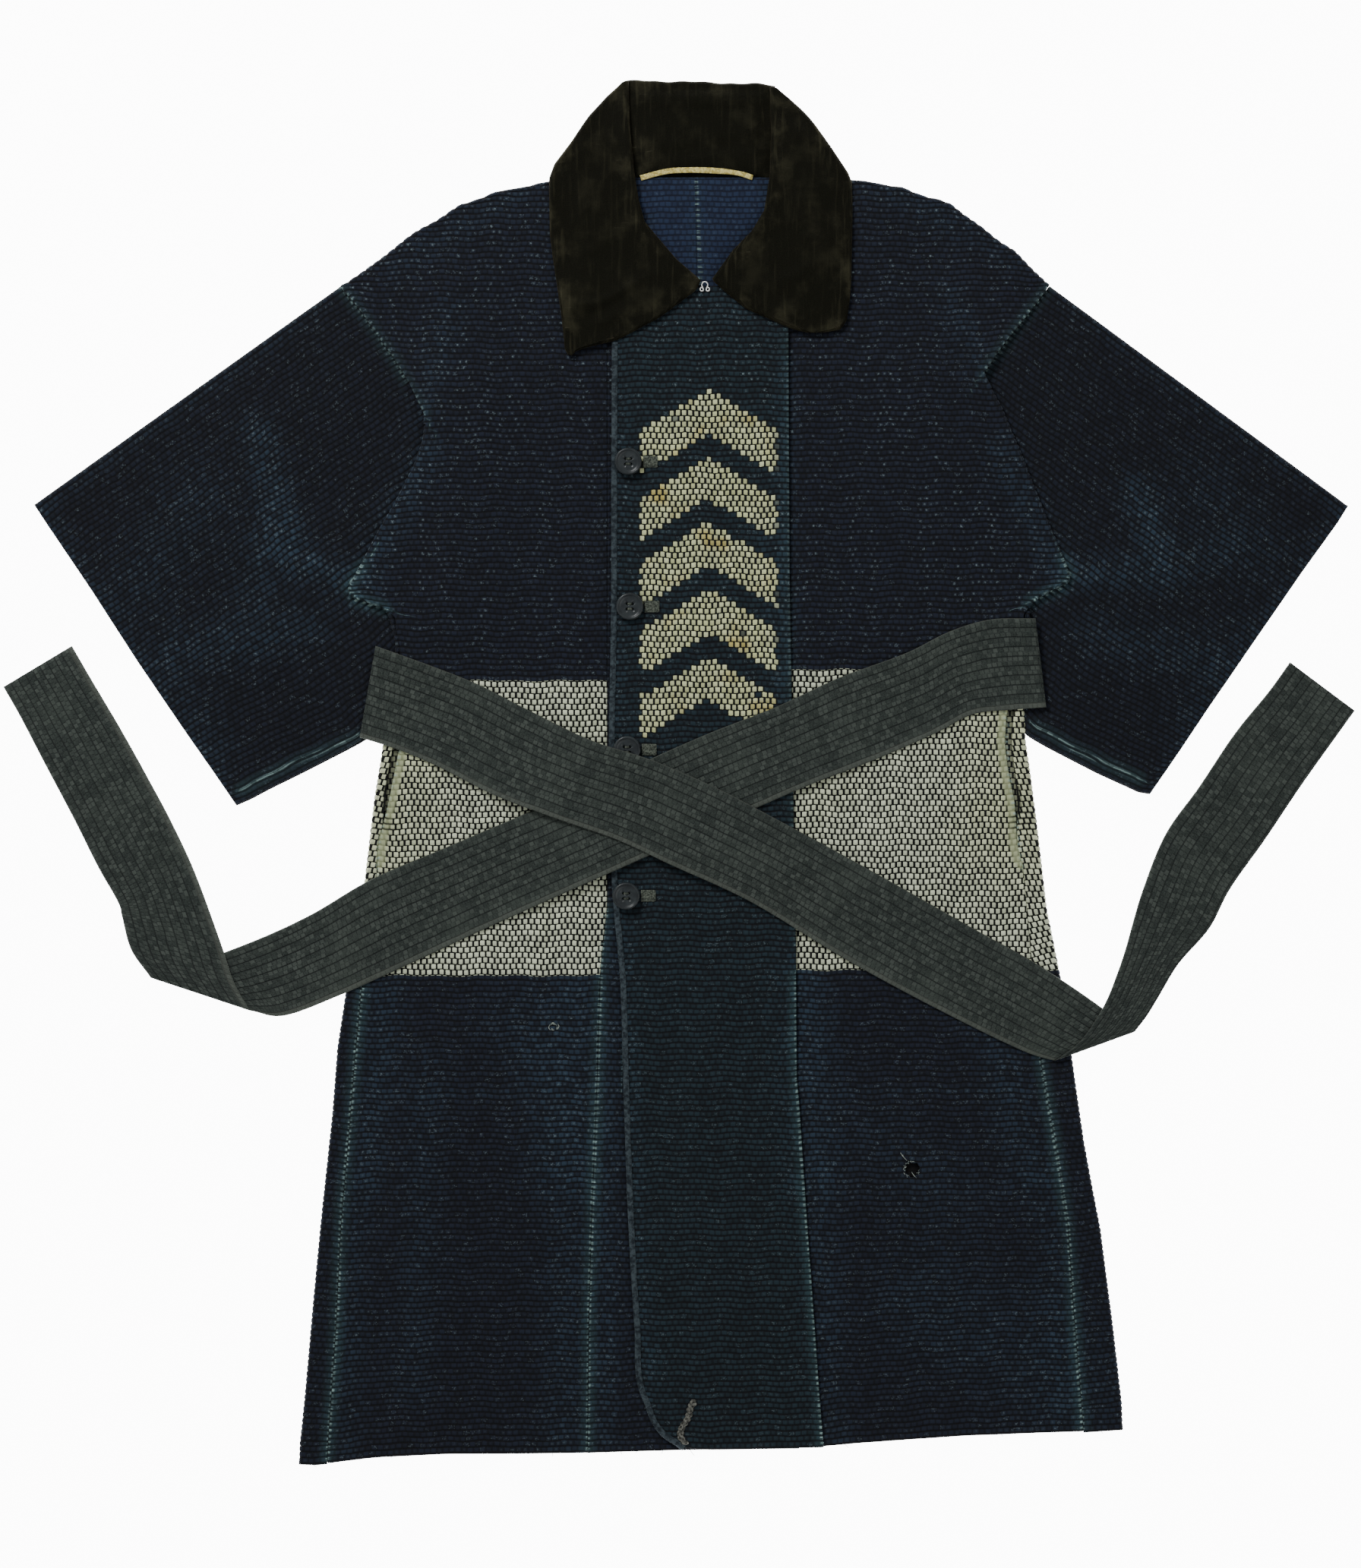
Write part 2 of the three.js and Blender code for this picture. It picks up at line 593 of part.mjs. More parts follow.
function slabOf({ outline, thick, cells, bottom }) {
  const columns = [...cells].map((cell) => Math.floor(cell / CELLS));
  const rows = [...cells].map((cell) => cell % CELLS);
  const left = Math.min(...columns);
  const low = Math.min(...rows);
  const point = (i, j, extra) => [
    place(left + i),
    place(low + j),
    bottom[(left + i) * NODES + low + j] + extra,
  ];
  const sheet = closedSheet(
    Math.max(...columns) + 1 - left,
    Math.max(...rows) + 1 - low,
    (i, j) => point(i, j, 0),
    (i, j) => point(i, j, thick),
  );
  return sheet.intersect(prism(outline));
}

// Height of a panel's lower side at a place, on the triangles that the sheet has
function bottomAt(part, x, y) {
  const i = Math.floor((x + HALF) / GRID);
  const j = Math.floor((y + HALF) / GRID);
  const u = (x - place(i)) / GRID;
  const v = (y - place(j)) / GRID;
  const h = (a, b) => part.bottom[(i + a) * NODES + j + b];
  if (u >= v) return h(0, 0) + u * (h(1, 0) - h(0, 0)) + v * (h(1, 1) - h(1, 0));
  return h(0, 0) + v * (h(0, 1) - h(0, 0)) + u * (h(1, 1) - h(0, 1));
}

// The round fold that joins a lower and an upper panel along a line
function foldBead(line, lower, upper, radius, trim) {
  const path = [];
  const ends = shortened(line, trim);
  for (let k = 0; k + 1 < ends.length; k++) {
    const steps = Math.ceil(Math.hypot(ends[k + 1].x - ends[k].x, ends[k + 1].y - ends[k].y) / GRID);
    for (let s = 0; s < steps; s++) {
      path.push({
        x: ends[k].x + ((ends[k + 1].x - ends[k].x) * s) / steps,
        y: ends[k].y + ((ends[k + 1].y - ends[k].y) * s) / steps,
      });
    }
  }
  path.push(ends[ends.length - 1]);
  for (const point of path) {
    const low = bottomAt(lower, point.x, point.y);
    const high = bottomAt(upper, point.x, point.y) + upper.thick;
    point.z = Math.max(low + radius, (low + high) / 2);
  }
  return bead(path, radius);
}

// Ribbons: strips laid on what is under them, from a table of their two edges
function topAt(x, y, below) {
  let top = 0;
  for (const part of below) {
    if (part.patches) {
      for (const patch of part.patches) {
        if (nearOutline(patch.outline, x, y)) top = Math.max(top, patch.top);
      }
    } else if (nearOutline(part.outline, x, y)) {
      top = Math.max(top, bottomAt(part, x, y) + part.thick);
    }
  }
  return top;
}

function ribbon(table, { thick, rows, depth = 0, step = BELT_STEP, below }) {
  const upper = new THREE.CatmullRomCurve3(table.map((r) => new THREE.Vector3(r.ux, r.uy, 0)));
  const lower = new THREE.CatmullRomCurve3(table.map((r) => new THREE.Vector3(r.lx, r.ly, 0)));
  const parts = table.length - 1;
  const shares = [];
  for (let k = 0; k < parts; k++) {
    const a = table[k];
    const b = table[k + 1];
    const distance = Math.hypot(b.ux + b.lx - a.ux - a.lx, b.uy + b.ly - a.uy - a.ly) / 2;
    const steps = Math.max(1, Math.round(distance / step));
    for (let s = 0; s < steps; s++) shares.push((k + s / steps) / parts);
  }
  shares.push(1);
  const across = 2 * rows;
  const grid = shares.map((share) => {
    const a = upper.getPoint(share);
    const b = lower.getPoint(share);
    return Array.from({ length: across + 1 }, (_, j) => a.clone().lerp(b, j / across));
  });
  const last = grid.length - 1;
  const samples = [0, 0.25, 0.5, 0.75, 1];
  for (let i = 0; i < last; i++) {
    for (let j = 0; j < across; j++) {
      const corners = [grid[i][j], grid[i + 1][j], grid[i][j + 1], grid[i + 1][j + 1]];
      let top = 0;
      for (const s of samples) {
        for (const t of samples) {
          const a = corners[0].clone().lerp(corners[1], s);
          const b = corners[2].clone().lerp(corners[3], s);
          const at = a.lerp(b, t);
          top = Math.max(top, topAt(at.x, at.y, below));
        }
      }
      for (const corner of corners) corner.need = Math.max(corner.need || 0, top ? top + GAP : 0);
    }
  }
  grid.flat().forEach((point) => {
    point.z = point.need;
  });
  for (let pass = 0; pass < 3; pass++) {
    const before = grid.map((row) => row.map((point) => point.z));
    for (let i = 0; i <= last; i++) {
      for (let j = 0; j <= across; j++) {
        const ahead = before[Math.min(i + 1, last)][j];
        const behind = before[Math.max(i - 1, 0)][j];
        const one = before[i][Math.min(j + 1, across)];
        const other = before[i][Math.max(j - 1, 0)];
        grid[i][j].z = Math.max(grid[i][j].z, (ahead + behind) / 2, (one + other) / 2);
      }
    }
  }
  const patches = [];
  for (let i = 0; i < last; i++) {
    for (let j = 0; j < across; j++) {
      const outline = [grid[i][j], grid[i + 1][j], grid[i + 1][j + 1], grid[i][j + 1]];
      patches.push({ outline, top: Math.max(...outline.map((point) => point.z)) + thick });
    }
  }
  const groove = (j) => (j % 2 === 0 ? depth : 0);
  const solid = closedSheet(
    last,
    across,
    (i, j) => [grid[i][j].x, grid[i][j].y, grid[i][j].z],
    (i, j) => [grid[i][j].x, grid[i][j].y, grid[i][j].z + thick - groove(j)],
  );
  return { solid, patches, grid };
}

// The belt where it turns down round the side of the body
function endWall({ grid }) {
  const across = grid[0].length - 1;
  const direction = grid[0][0].clone().sub(grid[1][0]).setZ(0).normalize();
  const reach = (i) => (i === 0 ? 0 : -BELT);
  const at = (i, j, z) => [
    grid[0][j].x + direction.x * reach(i),
    grid[0][j].y + direction.y * reach(i),
    z,
  ];
  return closedSheet(
    1,
    across,
    (i, j) => at(i, j, BELT + GAP),
    (i, j) => at(i, j, grid[0][j].z + BELT - ROW_DEPTH),
  );
}

// Layers from the table up
const right = "right";
const left = "left";
const tables = { right: LEAF_RIGHT, left: LEAF_LEFT };
const outward = { right: 1, left: -1 };

function sleeveOutline(name, gap) {
  const seam = shifted(side(ARMHOLE, name), -gap * outward[name]);
  const topFold = shifted([seam[0], ...side(SLEEVE_TOP, name)], outward[name] * FOLD);
  const lowLine = [side(INNER_EDGE, name).at(-1), ...side(SLEEVE_LOW, name)];
  const lowFold = shifted(lowLine, -outward[name] * FOLD);
  const inner = side(INNER_EDGE, name).slice(0, -1);
  return {
    topFold,
    lowFold,
    outline: [...topFold, ...lowFold.slice().reverse(), ...inner.reverse(), ...seam.slice(1).reverse()],
  };
}

function sideFold(name) {
  return shifted(column(SIDES, name + "Edge"), FOLD * outward[name]);
}

function shoulderFold(name) {
  return shifted(side(SHOULDER, name), FOLD * outward[name]);
}

function backOutline(name) {
  const centre = CENTRE_BACK.map(({ x, y }) => ({ x: x - (GAP / 2) * outward[name], y }));
  return [
    { x: centre[0].x, y: BACK_NECK },
    ...shoulderFold(name),
    ...side(ARMHOLE, name).slice(1, -1),
    ...sideFold(name),
    centre[1],
  ];
}

function frontOutline(name) {
  const inner = column(FRONTS, name === right ? "underSeam" : "overSeam");
  const seamEdge = column(SIDES, name + "Seam").filter((point) => point.y < SEAM_TOP);
  const waist = sideFold(name).filter((point) => point.y > WAIST_LOW);
  const pleat = shifted(side(PLEAT, name), FOLD * outward[name]);
  const hem = FRONT_HEM[name];
  return [
    ...shoulderFold(name),
    ...side(ARMHOLE, name).slice(1, name === right ? 4 : 3),
    ...pleat,
    ...side(NUB, name),
    ...waist,
    ...seamEdge,
    { x: hem.x, y: PAST_HEM },
    hem,
    ...inner.slice().reverse(),
    { x: inner[0].x, y: FRONT_TOP },
  ];
}

function returnOutline(name) {
  const pleat = shifted(side(PLEAT, name), FOLD * outward[name]);
  const inner = shifted(side(PLEAT, name), (FOLD + PLEAT_RETURN) * outward[name]);
  return [...pleat, ...inner.reverse()];
}

function wrapOutline(name) {
  const edge = sideFold(name).filter((point) => point.y < WRAP_TOP);
  const line = shifted(column(SIDES, name + "Seam"), -GAP * outward[name]);
  const seam = line.filter((point) => point.y < WRAP_TOP);
  return [...edge, ...seam.reverse()];
}

function slitOutline(name) {
  const line = SLIT.map(({ y }) => ({ x: columnAt(SIDES, name + "Seam", y), y }));
  const outer = line.map(({ x, y }, k) => ({ x: x - SLIT[k].width * outward[name], y }));
  const inner = line.map(({ x, y }) => ({ x: x + SLIT_INSIDE * outward[name], y }));
  return [...outer, ...inner.reverse()];
}

const hemLine = [...HEM, { x: HEM.at(-1).x, y: PAST_NECK }, { x: HEM[0].x, y: PAST_NECK }];
const neckHole = [
  ...side(NECK, right),
  ...side(NECK, left).reverse(),
  { x: NECK[0].leftX, y: PAST_NECK },
  { x: NECK[0].rightX, y: PAST_NECK },
];

function fallOutline() {
  const upper = (name) => column(tables[name].slice(0, COLLAR_ROWS), "outer");
  const inset = (name) => shifted(upper(name), FOLD * outward[name]);
  return [
    ...inset(right),
    ...FALL_EDGE,
    ...inset(left).reverse(),
    { x: COLLAR_TOP.leftX, y: COLLAR_TOP.leftY - FOLD },
    { x: COLLAR_TOP.rightX, y: COLLAR_TOP.rightY - FOLD },
  ];
}

function standOutline() {
  const roll = (name) => {
    const line = column(tables[name].slice(0, COLLAR_ROWS), "inner");
    return shifted(line, (FOLD + COLLAR_INSET.roll) * outward[name]).slice(1);
  };
  return [
    { x: COLLAR_TOP.rightX + COLLAR_INSET.stand, y: COLLAR_TOP.rightY - FOLD },
    ...roll(right),
    ...STAND_EDGE,
    ...roll(left).reverse(),
    { x: COLLAR_TOP.leftX - COLLAR_INSET.stand, y: COLLAR_TOP.leftY - FOLD },
  ];
}

function leafOutline(name) {
  const table = tables[name];
  const outer = column(table, "outer");
  const inner = column(table, "inner");
  const roll = shifted(inner.slice(0, ROLL_ENDS), -FOLD * outward[name]);
  return { roll, outline: [...outer, ...inner.slice(ROLL_ENDS).reverse(), ...roll.slice().reverse()] };
}

// The inner half of the collar, folded back under each leaf to the neckline
function underLeafOutline(name) {
  const { roll } = leafOutline(name);
  const neck = shifted(side(NECK, name), GAP * 2 * outward[name]);
  return [...roll.slice(2), ...neck.slice(0, -1).reverse()];
}

const fall = panel("fall", fallOutline(), VELVET);
const beltBackLine = BELT_BACK.map((row) => ({ x: row.ux, y: row.uy })).concat(
  BELT_BACK.map((row) => ({ x: row.lx, y: row.ly })).reverse(),
);
const beltBack = panel("belt_back", beltBackLine, BELT);

const layers = {};
for (const name of [right, left]) {
  const { outline, topFold, lowFold } = sleeveOutline(name, GAP);
  const lower = panel("sleeve_lower", outline, CLOTH);
  const upper = panel("sleeve_" + name, outline, CLOTH, [lower]);
  const back = panel("back", backOutline(name), CLOTH, [fall, beltBack]);
  layers[name] = { lower, upper, topFold, lowFold, back };
}
const backs = [layers.right.back, layers.left.back];
const tape = ribbon(TAPE, { thick: TRIM, rows: 1, below: backs });

for (const name of [right, left]) {
  const layer = layers[name];
  const under = [...backs, layer.lower, layer.upper];
  layer.turn = panel("return", returnOutline(name), CLOTH, under);
  layer.front = panel("front_" + name, frontOutline(name), CLOTH, [...under, layer.turn]);
  layer.wrap = panel("wrap", wrapOutline(name), CLOTH, backs);
}

const underPanel = [
  ...column(FRONTS, "underSeam").map(({ x, y }) => ({ x: x + GAP, y })),
  { x: UNDER_HEM.seam + GAP, y: PAST_HEM },
  { x: UNDER_HEM.edge, y: PAST_HEM },
  ...column(FRONTS, "underEdge").reverse(),
];
const corner = new THREE.QuadraticBezierCurve(
  new THREE.Vector2(CORNER.start.x, CORNER.start.y),
  new THREE.Vector2(CORNER.bend.x, CORNER.bend.y),
  new THREE.Vector2(CORNER.end.x, CORNER.end.y),
);
const frontEdge = [
  ...column(FRONTS, "overEdge"),
  ...corner.getPoints(6).slice(1).map(({ x, y }) => ({ x, y })),
];
const overPanel = [
  ...frontEdge,
  { x: CORNER.seam.x - GAP, y: CORNER.seam.y },
  ...column(FRONTS, "overSeam").map(({ x, y }) => ({ x: x - GAP, y })).reverse(),
];
const overlapRight = panel("overlap_right", underPanel, CLOTH, backs);
const overlapLeft = panel("overlap_left", overPanel, CLOTH, [...backs, overlapRight]);

const stand = panel("stand", standOutline(), VELVET, [fall, ...backs]);
for (const point of stand.bottom.keys()) stand.bottom[point] += TRIM + GAP;
const fronts = [layers.right.front, layers.left.front, overlapRight, overlapLeft];
for (const name of [right, left]) {
  const layer = layers[name];
  const lean = panel("under_leaf", underLeafOutline(name), VELVET, [fall, ...backs]);
  const { outline, roll } = leafOutline(name);
  const leaf = panel("leaf_" + name, outline, VELVET, [fall, ...backs, ...fronts, lean]);
  Object.assign(layer, { lean, leaf, roll });
}

// Sub-parts
const coat = new THREE.Group();
const hemArea = prism(hemLine);
const neckArea = prism(neckHole);

function body(name) {
  const { back, front, turn, wrap } = layers[name];
  const low = sideFold(name).map(({ x, y }) => ({ x, y: Math.max(y, FOLD_HEM) }));
  const pleatLine = shifted(side(PLEAT, name), FOLD * outward[name]);
  const pieces = [
    slabOf(back),
    slabOf(front).subtract(neckArea).subtract(prism(slitOutline(name))),
    slabOf(wrap),
    slabOf(turn),
    foldBead(shoulderFold(name), back, front, FOLD, STOPS.shoulder),
    foldBead(low, back, wrap, FOLD, STOPS.side),
    foldBead(pleatLine, turn, front, FOLD, STOPS.pleat),
  ];
  const hole = prism(
    Array.from({ length: 12 }, (_, k) => ({
      x: HOLE.x + HOLE.radius * Math.cos((k * Math.PI) / 6),
      y: HOLE.y + HOLE.radius * Math.sin((k * Math.PI) / 6),
    })),
    CLOTH + GAP / 2,
  );
  const whole = join(pieces).intersect(hemArea);
  coat.add(named("body_" + name, name === left ? whole.subtract(hole) : whole, indigo));
}

function sleeve(name) {
  const { lower, upper, topFold, lowFold } = layers[name];
  const pieces = [
    slabOf(lower),
    slabOf(upper),
    foldBead(topFold, lower, upper, FOLD, STOPS.sleeveTop),
    foldBead(lowFold, lower, upper, FOLD, STOPS.sleeveLow),
  ];
  coat.add(named("sleeve_" + name, join(pieces), indigo));
}

function collar() {
  const top = [
    { x: COLLAR_TOP.rightX + COLLAR_INSET.fold, y: COLLAR_TOP.rightY - FOLD },
    { x: COLLAR_TOP.leftX - COLLAR_INSET.fold, y: COLLAR_TOP.leftY - FOLD },
  ];
  const back = join([slabOf(fall), slabOf(stand), foldBead(top, fall, stand, FOLD, STOPS.collar)]);
  coat.add(named("collar_back", back, velvet));
  for (const name of [right, left]) {
    const { lean, leaf, roll } = layers[name];
    const rolled = foldBead(roll.slice(2), lean, leaf, FOLD, STOPS.roll);
    coat.add(named("collar_leaf_" + name, join([slabOf(lean), slabOf(leaf), rolled]), velvet));
  }
}

for (const name of [right, left]) {
  body(name);
  sleeve(name);
}
coat.add(named("overlap_right", slabOf(overlapRight).subtract(neckArea).intersect(hemArea), indigo));
coat.add(named("overlap_left", slabOf(overlapLeft).subtract(neckArea).intersect(hemArea), indigo));
collar();
coat.add(named("neck_tape", tape.solid, tapeYellow));

// Trim on the front edge
const laidOn = [...fronts, layers.right.leaf, layers.left.leaf];
const belowCollar = frontEdge.filter((point) => point.y < BINDING.top.y);
const edgeLine = [BINDING.top, ...belowCollar, BINDING.end];
const innerLine = shifted(edgeLine, BINDING.width);
const bindingRows = edgeLine.map((point, k) => ({
  ux: point.x + BINDING.out,
  uy: point.y,
  lx: innerLine[k].x,
  ly: innerLine[k].y,
}));
bindingRows.at(-1).uy += BINDING.out;
const binding = ribbon(bindingRows, { thick: TRIM, rows: 1, step: 2 * BELT_STEP, below: [overlapLeft] });
coat.add(named("front_edge_binding", binding.solid, edging));

const hemLoop = ribbon(HEM_LOOP, { thick: TRIM, rows: 1, step: 9, below: [overlapLeft, binding] });
coat.add(named("hem_loop", hemLoop.solid, thread));

// A button of turned horn with a raised rim, a dished face and four holes
function buttonSolid() {
  const { radius, thick, foot, widest, edge, rim, slope, dish, hole, spread } = BUTTON;
  const profile = [
    [0, 0],
    [radius * foot, 0],
    [radius, thick * widest],
    [radius - edge, thick],
    [radius - rim, thick],
    [radius - rim - slope, thick - dish],
    [0, thick - dish],
  ];
  const disc = new THREE.LatheGeometry(profile.map((point) => new THREE.Vector2(...point)), 18);
  let solid = solidOf(disc.rotateX(Math.PI / 2));
  for (const [x, y] of [[-1, -1], [1, -1], [1, 1], [-1, 1]]) {
    const drill = new THREE.CylinderGeometry(hole, hole, thick * 3, 5);
    drill.rotateX(Math.PI / 2).translate(x * spread, y * spread, thick / 2);
    solid = solid.subtract(solidOf(drill));
  }
  return solid;
}

const fastenings = [];
BUTTONS.forEach(({ x, y }, k) => {
  const disc = Array.from({ length: 16 }, (_, step) => ({
    x: x + BUTTON.radius * Math.cos((step * Math.PI) / 8),
    y: y + BUTTON.radius * Math.sin((step * Math.PI) / 8),
  }));
  const seat = Math.max(...disc.map((point) => topAt(point.x, point.y, [overlapLeft, binding]))) + GAP;
  const button = named("button_" + (k + 1), buttonSolid(), buttonHorn);
  button.position.set(x, y, seat);
  coat.add(button);
  const start = x + BUTTON.radius + BUTTONHOLE.gap;
  const rows = [0, 0.5, 1].map((share) => ({
    ux: start + share * BUTTONHOLE.length,
    uy: y + BUTTONHOLE.width / 2,
    lx: start + share * BUTTONHOLE.length,
    ly: y - BUTTONHOLE.width / 2,
  }));
  const stitching = { thick: TRIM, rows: 2, depth: BUTTONHOLE.depth, below: [overlapLeft] };
  const stitched = ribbon(rows, stitching);
  coat.add(named("buttonhole_" + (k + 1), stitched.solid, thread));
  const top = seat + BUTTON.thick;
  fastenings.push({ patches: [{ outline: disc, top }] }, stitched);
});

// The wire eye at the neck: one ring with two sewing loops
const EYE = { x: 21, y: 396.5, ring: 2.7, loop: 1.4, wire: 0.55, apart: 2.1 };
function eyeSolid() {
  const ring = new THREE.TorusGeometry(EYE.ring, EYE.wire, 6, 12);
  const pieces = [solidOf(ring)];
  for (const x of [-EYE.apart, EYE.apart]) {
    const loop = new THREE.TorusGeometry(EYE.loop, EYE.wire, 6, 8);
    pieces.push(solidOf(loop.translate(x, -EYE.ring - EYE.loop * 0.6, 0)));
  }
  return join(pieces);
}
const eye = named("neck_eye", eyeSolid(), wire);
eye.position.set(EYE.x, EYE.y, topAt(EYE.x, EYE.y - 2, laidOn) + GAP + EYE.wire);
coat.add(eye);

// The belt: behind the body, round both sides, crossed in front, each end turned up in a fold
const strandBase = [
  ...backs, ...fronts, layers.right.wrap, layers.left.wrap, layers.right.upper, layers.left.upper,
  layers.right.leaf, layers.left.leaf, binding, ...fastenings,
];
coat.add(named("belt_back", slabOf(beltBack), beltCotton));
const strand = { thick: BELT, rows: ROWS, depth: ROW_DEPTH };

// A strand with its wall at the body's side, cut clear of the fold at its other end
function strandSolid(made) {
  const fold = made.grid.at(-1);
  const inward = made.grid.at(-3)[ROWS];
  const line = [fold[0], fold.at(-1)];
  const away = shifted(line, 1)[0];
  const before = Math.hypot(line[0].x - inward.x, line[0].y - inward.y);
  const turn = Math.hypot(away.x - inward.x, away.y - inward.y) < before ? 1 : -1;
  const ends = shortened(line, -BELT_STEP);
  const cut = [...shifted(ends, turn * FOLD_CLEAR), ...shifted(ends, -turn * BELT_STEP).reverse()];
  return made.solid.subtract(prism(cut)).add(endWall(made));
}
const under = ribbon(BELT_UNDER, { ...strand, below: strandBase });
const over = ribbon(BELT_OVER, { ...strand, below: [...strandBase, under] });
coat.add(named("belt_under", strandSolid(under), beltCotton));
coat.add(named("belt_over", strandSolid(over), beltCotton));

function tail(name, table, beneath) {
  const made = ribbon(table, { thick: BELT, rows: ROWS, depth: ROW_DEPTH, below: [beneath] });
  const few = made.grid[0].filter((_, k) => k % 3 === 0 || k === 2 * ROWS);
  const row = few.map(({ x, y, z }) => ({ x, y, z: z - GAP / 2 }));
  coat.add(named(name, made.solid.add(bead(shortened(row, 1), BELT_FOLD)), beltCotton));
}
tail("belt_tail_right", TAIL_RIGHT, under);
tail("belt_tail_left", TAIL_LEFT, over);

export default coat;
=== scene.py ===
"""A japanese fireman coat with its own belt, laid flat with its front up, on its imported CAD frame.

Lengths are millimetres in the script and metres in the scene. X runs to the viewer's right,
Y to the collar, Z up from the table. Right and left in the names are the wearer's.
"""
import math

import bpy
import numpy as np
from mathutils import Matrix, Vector
from mathutils.bvhtree import BVHTree


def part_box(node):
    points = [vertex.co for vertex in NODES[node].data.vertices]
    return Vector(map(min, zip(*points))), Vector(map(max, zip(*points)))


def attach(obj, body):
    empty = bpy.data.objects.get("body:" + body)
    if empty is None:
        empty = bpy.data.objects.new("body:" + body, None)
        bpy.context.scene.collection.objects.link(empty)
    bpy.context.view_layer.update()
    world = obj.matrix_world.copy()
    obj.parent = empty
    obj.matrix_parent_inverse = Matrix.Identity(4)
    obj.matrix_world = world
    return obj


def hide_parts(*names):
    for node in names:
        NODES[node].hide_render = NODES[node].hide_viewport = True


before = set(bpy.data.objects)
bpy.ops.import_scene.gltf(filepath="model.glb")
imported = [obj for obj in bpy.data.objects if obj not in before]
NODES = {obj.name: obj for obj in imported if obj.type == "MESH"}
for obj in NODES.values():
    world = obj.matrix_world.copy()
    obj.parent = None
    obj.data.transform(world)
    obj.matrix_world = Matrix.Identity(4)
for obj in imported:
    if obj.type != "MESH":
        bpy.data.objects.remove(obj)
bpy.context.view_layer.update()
MM = 0.001

# Cloth
CLOTH = 2.2
VELVET = 2.4
BELT = 1.8
TRIM = 1.0
PITCH = 4.6  # from one rib to the next
RIB_DEPTH = 0.6
RIB_ROWS = ((0, 1), (0.3, 0), (0.7, 0))  # share of the pitch, and 1 in the groove
END_DEPTHS = (0, 0.35, 1.1)  # rows that round off a cut end
END_SHARES = (0.3, 0.8, 1)  # what is left of the thickness there
END_CLEAR = 1.6  # no other row lies nearer to an end
FOLD = 2.35  # outer radius of a fold in two layers of cloth
BELT_FOLD = 1.95
HOLE = (190, -324.1, 5.9)  # x, y and radius of the rip

# Heights from the CAD
STEP = 2.5  # between the places looked at
RAY_START = 0.2  # in metres, well above the coat
SPREADS = (80, 30, 12)  # blurs that carry the heights past the edges, before the last one


class Heights:
    """Top and underside of CAD nodes by place, softened so that their facets don't show."""

    def __init__(self, *names, reach=8, underside=False):
        trees, corners = [], []
        for name in names:
            mesh = NODES[name].data
            points = [vertex.co for vertex in mesh.vertices]
            trees.append(BVHTree.FromPolygons(points, [face.vertices for face in mesh.polygons]))
            corners.append(np.array(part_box(name)) / MM)
        margin = 4 * STEP
        self.low_x = min(box[0][0] for box in corners) - margin
        self.low_y = min(box[0][1] for box in corners) - margin
        count_x = int((max(box[1][0] for box in corners) + margin - self.low_x) / STEP) + 1
        count_y = int((max(box[1][1] for box in corners) + margin - self.low_y) / STEP) + 1
        down = Vector((0, 0, 1 if underside else -1))
        start = -RAY_START if underside else RAY_START
        found = np.full((count_y, count_x), np.nan)
        for row in range(count_y):
            y = (self.low_y + row * STEP) * MM
            for column in range(count_x):
                x = (self.low_x + column * STEP) * MM
                for tree in trees:
                    place = tree.ray_cast(Vector((x, y, start)), down)[0]
                    if place is None:
                        continue
                    height = place.z / MM
                    best = found[row, column]
                    if np.isnan(best) or (height < best if underside else height > best):
                        found[row, column] = height
        known = ~np.isnan(found)
        inner = known.copy()
        for axis in (0, 1):
            for shift in (-1, 1):
                inner &= np.roll(known, shift, axis)
        values = np.where(inner, found, 0)
        self.grid = np.zeros_like(values)
        for spread in (*SPREADS, reach):
            near = self.blurred(inner.astype(float), spread)
            mean = self.blurred(values, spread) / np.maximum(near, 1e-12)
            self.grid = np.where(near > 0.02, mean, self.grid)

    @staticmethod
    def blurred(grid, spread):
        """Gaussian blur over a spread in millimetres."""
        half = int(3 * spread / STEP)
        offsets = np.arange(-half, half + 1) * STEP
        weights = np.exp(-0.5 * (offsets / spread) ** 2)
        weights /= weights.sum()
        padded = np.pad(grid, half)
        down = sum(
            weight * padded[k : k + grid.shape[0], :] for k, weight in enumerate(weights)
        )
        return sum(
            weight * down[:, k : k + grid.shape[1]] for k, weight in enumerate(weights)
        )

    def __call__(self, x, y):
        """Height at places, between the grid's points."""
        across = np.clip((x - self.low_x) / STEP, 0, self.grid.shape[1] - 1.001)
        up = np.clip((y - self.low_y) / STEP, 0, self.grid.shape[0] - 1.001)
        column, row = across.astype(int), up.astype(int)
        part_x, part_y = across - column, up - row
        lower = self.grid[row, column] * (1 - part_x) + self.grid[row, column + 1] * part_x
        upper = self.grid[row + 1, column] * (1 - part_x) + self.grid[row + 1, column + 1] * part_x
        return lower * (1 - part_y) + upper * part_y


# Meshes
def make_object(name, points, faces, uvs=None, material=None, facts=None):
    """A mesh from points in millimetres, and faces of any size; uvs and facts go by point."""
    mesh = bpy.data.meshes.new(name)
    mesh.from_pydata((np.asarray(points) * MM).tolist(), [], [list(face) for face in faces])
    mesh.update()
    if uvs is not None:
        layer = mesh.uv_layers.new(name="cloth")
        corner = np.empty(len(mesh.loops), dtype=np.int32)
        mesh.loops.foreach_get("vertex_index", corner)
        layer.data.foreach_set("uv", np.asarray(uvs, dtype=np.float32)[corner].ravel())
    for fact, values in (facts or {}).items():
        attribute = mesh.attributes.new(fact, "FLOAT", "POINT")
        attribute.data.foreach_set("value", np.asarray(values, dtype=np.float32).ravel())
    mesh.shade_smooth()
    piece = bpy.data.objects.new(name, mesh)
    bpy.context.scene.collection.objects.link(piece)
    if material:
        mesh.materials.append(material)
    return piece


def placed(piece, node):
    """Puts the piece in the place of a CAD node."""
    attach(piece, "root")
    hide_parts(node)


